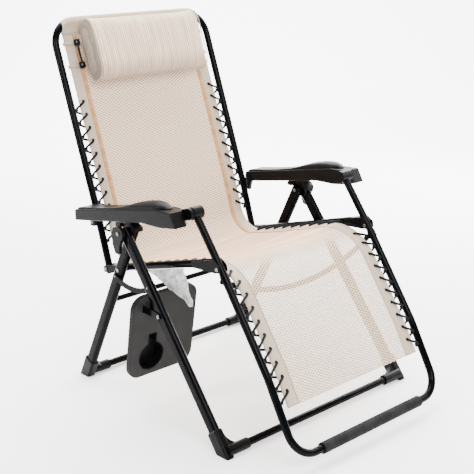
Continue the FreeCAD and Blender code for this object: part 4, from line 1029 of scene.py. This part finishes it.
def end_outline(pillow, side):
    """The pillow's widest outline near one end, as places round a full turn at local x 0."""
    count = 60
    reach = [0.0] * count
    for vertex in pillow.data.vertices:
        x, y, z = vertex.co
        if abs(x - side * (PILLOW_HALF - 0.012)) < 0.006:
            slot = int((math.atan2(z, y) / (2 * math.pi)) % 1 * count)
            reach[slot] = max(reach[slot], math.hypot(y, z))
    for slot in range(count):
        if reach[slot] == 0.0:
            reach[slot] = max(reach[slot - 1], reach[(slot + 1) % count])
    soft = [(reach[slot - 1] + 2 * reach[slot] + reach[(slot + 1) % count]) / 4 for slot in range(count)]
    turns = [2 * math.pi * (slot + 0.5) / count for slot in range(count)]
    return [Vector((0, soft[slot] * math.cos(turns[slot]), soft[slot] * math.sin(turns[slot])))
            for slot in range(count)]


PIPING_IN, PIPING_RADIUS = 0.007, 0.0015


def pillow_piping(pillow):
    pieces = Pieces()
    for side in SIDES:
        end = Vector((side * (PILLOW_HALF - PIPING_IN), 0, 0))
        line = [place + end for place in end_outline(pillow, side)]
        rings, cloth = [], []
        for index, place in enumerate(line):
            out = Vector((0, place.y, place.z)).normalized()
            rings.append(ellipse(place, Vector((PIPING_RADIUS, 0, 0)), out * PIPING_RADIUS, 8))
            cloth += [(0, index * 0.009, 0)] * 8
        pieces.rings(rings, cloth, [(0, 1.0, 0)] * (8 * len(line)), closed=True)
    return pieces.build("pillow_piping", TAPE)


def rounded_block(pieces, centre, size, radius):
    """A box with rounded corners, as a ring stack."""
    half = size / 2
    rings = []
    for level, inset in ((-half.z, radius), (-half.z + radius, 0), (half.z - radius, 0), (half.z, radius)):
        ring = []
        for corner_x, corner_y, first in ((1, 1, 0), (-1, 1, 90), (-1, -1, 180), (1, -1, 270)):
            for step in range(4):
                turn = math.radians(first + step * 30)
                ring.append(centre + Vector((corner_x * (half.x - radius) + math.cos(turn) * (radius - inset),
                                             corner_y * (half.y - radius) + math.sin(turn) * (radius - inset),
                                             level)))
        rings.append(ring)
    pieces.rings(rings)


CLIP_RISE, CLIP_OUT, CLIP_BACK = 0.035, 0.008, 0.036
CLIP_SIZE = Vector((0.018, 0.010, 0.019))
CLIP_CORNER = 0.0022
RIVET_PROFILE = ((0, 0.0034), (0.0012, 0.0030), (0.0018, 0.0016))
PILLOW_ELASTIC_RADIUS = 0.0034
BAND_BEHIND = 0.054
BAND_BOW = 0.012                 # how far the bands hang clear of the sagging sling at its middle
BAND_HALF_WIDTH, BAND_HALF_THICK = 0.005, 0.0007
BAND_CLEAR = 0.004


def pillow_clips():
    clips, dots = Pieces(), Pieces()
    for side in SIDES:
        for rise in (CLIP_RISE, -CLIP_RISE):
            centre = Vector((side * (PILLOW_HALF + CLIP_OUT), -CLIP_BACK, rise))
            rounded_block(clips, centre, CLIP_SIZE, CLIP_CORNER)
            dots.rings([ellipse(centre + Vector((side * 0.003, 0.0048 + lift, 0)), Vector((radius, 0, 0)),
                                Vector((0, 0, radius)), 14) for lift, radius in RIVET_PROFILE])
    block = clips.build("pillow_clips", BLACK_PLASTIC)
    sharpen(block)
    return block, dots.build("pillow_clip_rivets", STEEL)


def pillow_elastics():
    """A cord from clip to clip at each end."""
    bow = ((0.009, -0.030, CLIP_RISE - 0.004), (0.012, -0.028, 0.020), (0.014, -0.026, 0),
           (0.012, -0.028, -0.020), (0.009, -0.030, 0.004 - CLIP_RISE))
    routes = [[Vector((side * (PILLOW_HALF + out), y, rise)) for out, y, rise in bow] for side in SIDES]
    return cord_mesh("pillow_elastics", routes, PILLOW_ELASTIC_RADIUS, ELASTIC)


def pillow_bands():
    """Flat elastic bands from the clips round the sling's edges, and across behind it."""
    pieces = Pieces()
    edge = SLING_HALF + BAND_CLEAR
    front = -PILLOW_DEPTH / 2 + 0.002
    right = [(-PILLOW_HALF - CLIP_OUT, front), (-edge + 0.004, front - 0.001), (-edge, front - 0.004),
             (-edge, 0.003 - BAND_BEHIND), (-edge + 0.004, -BAND_BEHIND)]
    across = [(share * edge, -BAND_BEHIND - BAND_BOW * (1 - share * share))
              for share in (-0.9, -0.75, -0.5, -0.25, 0, 0.25, 0.5, 0.75, 0.9)]
    line = right + across + [(-x, y) for x, y in right[::-1]]
    for rise in (CLIP_RISE, -CLIP_RISE):
        rings = []
        for index, (x, y) in enumerate(line):
            before, after = line[max(index - 1, 0)], line[min(index + 1, len(line) - 1)]
            way = Vector((after[0] - before[0], after[1] - before[1])).normalized()
            centre = Vector((x + PILLOW_SHIFT * smooth(abs(x), PILLOW_HALF, edge - 0.004), y, rise))
            rings.append(ellipse(centre, Vector((way.y, -way.x, 0)) * BAND_HALF_THICK,
                                 Vector((0, 0, BAND_HALF_WIDTH)), 8))
        pieces.rings(rings)
    return pieces.build("pillow_bands", BAND)


def finish_pillow():
    pillow = make_pillow()
    piping = pillow_piping(pillow)
    clips, dots = pillow_clips()
    for piece, slot, *nodes in ((pillow, "beige_mesh", "pillow"), (piping, "beige_mesh"),
                                (clips, "buckle_plastic", "pillow_buckles"), (dots, "steel_rivet"),
                                (pillow_elastics(), "black_elastic"),
                                (pillow_bands(), "beige_mesh", "pillow_straps")):
        piece.data.transform(PILLOW_PLACE)
        settle(piece, "pillow", slot, *nodes)


# --- Armrest pads, tag -------------------------------------------------------------------


def between(table, y):
    """Reads a short table of (y, value) pairs along a smooth curve through them."""
    y = min(max(y, table[0][0]), table[-1][0])
    index = next(row for row in range(len(table) - 1) if y <= table[row + 1][0])
    slopes = []
    for row in (index, index + 1):
        before, after = table[max(row - 1, 0)], table[min(row + 1, len(table) - 1)]
        slopes.append((after[1] - before[1]) / (after[0] - before[0]))
    (low, first), (high, second) = table[index], table[index + 1]
    span = high - low
    share = (y - low) / span
    return (first * (1 + 2 * share) * (1 - share) ** 2 + second * share * share * (3 - 2 * share)
            + span * share * (1 - share) * (slopes[0] * (1 - share) - slopes[1] * share))


PAD_TOP = ((-0.090, 0.643), (-0.060, 0.651), (-0.020, 0.6505), (0.040, 0.636), (0.110, 0.611), (0.200, 0.590),
           (0.300, 0.573), (0.318, 0.569))
PAD_POWER = ((-0.09, 2.2), (0.02, 3.0), (0.12, 5.5), (0.32, 7.0))      # how square its section is
PAD_FRONT = -0.086
LEDGE_FRONT, LEDGE_TOP = -0.064, 0.6386       # the armrest's deck, a straight slope behind here
LEDGE_SLOPE, NOSE_SLOPE = -0.200, -0.1333
PAD_ROWS, PAD_COLUMNS = 74, 22
NOSE_NARROWER, PAD_DISH = 0.017, 0.0022


def pad_ledge(y):
    """Height of the armrest's deck, on which the pad lies."""
    return LEDGE_TOP + (y - LEDGE_FRONT) * (LEDGE_SLOPE if y >= LEDGE_FRONT else NOSE_SLOPE)


def armrest_pad(side):
    """The pad: dished for the forearm, crowned and narrowed towards the nose."""
    which = "left" if side > 0 else "right"
    low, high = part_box("armrest_pad_" + which)
    middle, rear = (low.x + high.x) / 2, high.y
    rings = []
    for y in evenly(PAD_FRONT, rear, PAD_ROWS):
        ledge = pad_ledge(y)
        half = (high.x - low.x) / 2 - NOSE_NARROWER * smooth(y, -0.045, -0.088)
        ends = min(smooth(y, PAD_FRONT - 0.002, PAD_FRONT + 0.010), smooth(y, rear + 0.002, rear - 0.008))
        top = ledge + (between(PAD_TOP, y) - ledge) * math.sqrt(ends)
        power = between(PAD_POWER, y)
        dish = PAD_DISH * smooth(y, 0.06, 0.14)
        ring = []
        for share in evenly(-1, 1, PAD_COLUMNS):
            spread = math.sin(share * math.pi / 2)
            rise = (1 - abs(spread) ** power) ** (1 / power)
            z = ledge + (top - ledge) * max(rise, 0.02) - dish * (1 - spread * spread)
            ring.append(Vector((middle + spread * half, y, max(z, ledge + 0.0003))))
        ring += [Vector((middle + half, y, ledge)), Vector((middle - half, y, ledge))]
        rings.append(ring)
    pieces = Pieces()
    pieces.rings(rings)
    pad = pieces.build("pad_" + which, PAD_PLASTIC)
    sharpen(pad, 48)
    settle(pad, "armrest_" + which, "armrest_pad", "armrest_pad_" + which)


TAG_TOP = (Vector((0.084, 0.413)), Vector((-0.078, 0.459)))      # rear and front, in the side plane
TAG_TIP = (Vector((-0.104, 0.352)), Vector((-0.116, 0.356)))
TAG_CRUMPLES = ((34, 0, 0.0060), (90, 5, 0.0022))                 # per metre, seed, depth
TAG_ROWS, TAG_COLUMNS = 26, 30
TAG_HALF_THICK = 0.0003


def hang_tag():
    """A creased blank film tag that hangs from the near rail."""
    x = middle_of("hang_tag").x
    places = []
    for layer in (1, -1):
        for down in evenly(0, 1, TAG_ROWS):
            for share in evenly(0, 1, TAG_COLUMNS):
                flat = TAG_TOP[0].lerp(TAG_TOP[1], share).lerp(TAG_TIP[0].lerp(TAG_TIP[1], share), down)
                crumple = sum(depth * noise.noise(Vector((flat.x * often, flat.y * often, seed)))
                              for often, seed, depth in TAG_CRUMPLES)
                places.append(spatial(flat, x + crumple * smooth(down, 0, 0.12) + layer * TAG_HALF_THICK))
    pieces = Pieces()
    pieces.add(places, sheet_faces(TAG_ROWS, TAG_COLUMNS))
    tag = pieces.build("film_tag", TAG)
    settle(tag, "seat", "white_tag", "hang_tag")


# --- Camera, light and stage ---------------------------------------------------------------


CAMERA_PLACE = (-2.022, -2.150, 1.389)
CAMERA_AZIMUTH = math.radians(-42.886)
CAMERA_PITCH = math.radians(17.328)
LENS_MM, SENSOR_MM = 78.0, 36.0
GLOW_NEAR, GLOW_FAR = 0.5, 3.5
WORLD_LIGHT = 0.5
STAGE_REACH, COVE_START, COVE_RADIUS, WALL_TOP = 9.0, 3.0, 2.5, 8.0
LIGHTS = (                       # name, place, target, size, power
    ("key", (-1.6, -3.4, 3.4), (0, 0, 0.5), (2.6, 2.2), 350),
    ("top", (0.3, 0.9, 4.2), (0, 0.2, 0.3), (3.4, 2.4), 400),
    ("fill", (3.2, -1.6, 2.2), (0, 0, 0.5), (1.6, 2.2), 120),
    ("strip_near", (-3.0, 0.6, 1.9), (0, 0.1, 0.5), (0.10, 2.2), 110),
    ("strip_far", (2.6, 0.9, 1.8), (0, 0, 0.5), (0.10, 2.2), 110),
    ("floor_wash", (2.2, 2.6, 3.0), (1.6, 1.9, 0.0), (3.0, 2.0), 220),
)


def aim(thing, way):
    thing.rotation_mode = "QUATERNION"
    thing.rotation_quaternion = way.to_track_quat("-Z", "Y")


def make_camera():
    data = bpy.data.cameras.new("camera")
    data.lens = LENS_MM
    data.sensor_width = SENSOR_MM
    camera = place_object("camera", data)
    camera.location = CAMERA_PLACE
    level = math.cos(CAMERA_PITCH)
    aim(camera, Vector((-math.sin(CAMERA_AZIMUTH) * level, math.cos(CAMERA_AZIMUTH) * level,
                        -math.sin(CAMERA_PITCH))))
    bpy.context.scene.camera = camera


def area_light(name, place, target, size, power):
    data = bpy.data.lights.new(name, "AREA")
    data.shape = "RECTANGLE"
    data.size, data.size_y = size
    data.energy = power
    light = place_object(name, data)
    light.location = place
    aim(light, Vector(target) - Vector(place))


def make_stage():
    """A pale floor that curves up into a wall, behind the chair as the camera sees it."""
    look = Recipe("studio_paper", (0.86, 0.86, 0.86), 0.9)
    cloud = look.noise(look.object_place(), 1.2, 3)
    paper = look.finish(look.mix(cloud, (0.90, 0.90, 0.90), (0.93, 0.93, 0.93)))
    deep = look.node("ShaderNodeSeparateXYZ", {0: look.object_place()}).outputs[1]
    look.feed(look.shader.inputs["Emission Color"], (1, 1, 1, 1))
    look.feed(look.shader.inputs["Emission Strength"], look.span(deep, 0.2, 4.5, GLOW_NEAR, GLOW_FAR))
    pieces = Pieces()
    profile = [(-STAGE_REACH, 0.0), (COVE_START, 0.0)]
    for degrees in range(10, 91, 10):
        turn = math.radians(degrees)
        profile.append((COVE_START + COVE_RADIUS * math.sin(turn), COVE_RADIUS * (1 - math.cos(turn))))
    profile.append((COVE_START + COVE_RADIUS, WALL_TOP))
    places = [Vector((x, y, z - 0.0005)) for x in (-STAGE_REACH, STAGE_REACH) for y, z in profile]
    count = len(profile)
    pieces.add(places, [(index, index + 1, count + index + 1, count + index) for index in range(count - 1)])
    stage = pieces.build("studio_floor", paper)
    stage.rotation_euler.z = CAMERA_AZIMUTH
    world = bpy.data.worlds.new("studio")
    world.use_nodes = True
    background = world.node_tree.nodes["Background"]
    background.inputs["Color"].default_value = (1, 1, 1, 1)
    background.inputs["Strength"].default_value = WORLD_LIGHT
    bpy.context.scene.world = world
    for light in LIGHTS:
        area_light(*light)


make_camera()
make_stage()
make_sling()
finish_pillow()
for arm_side in SIDES:
    armrest_pad(arm_side)
hang_tag()
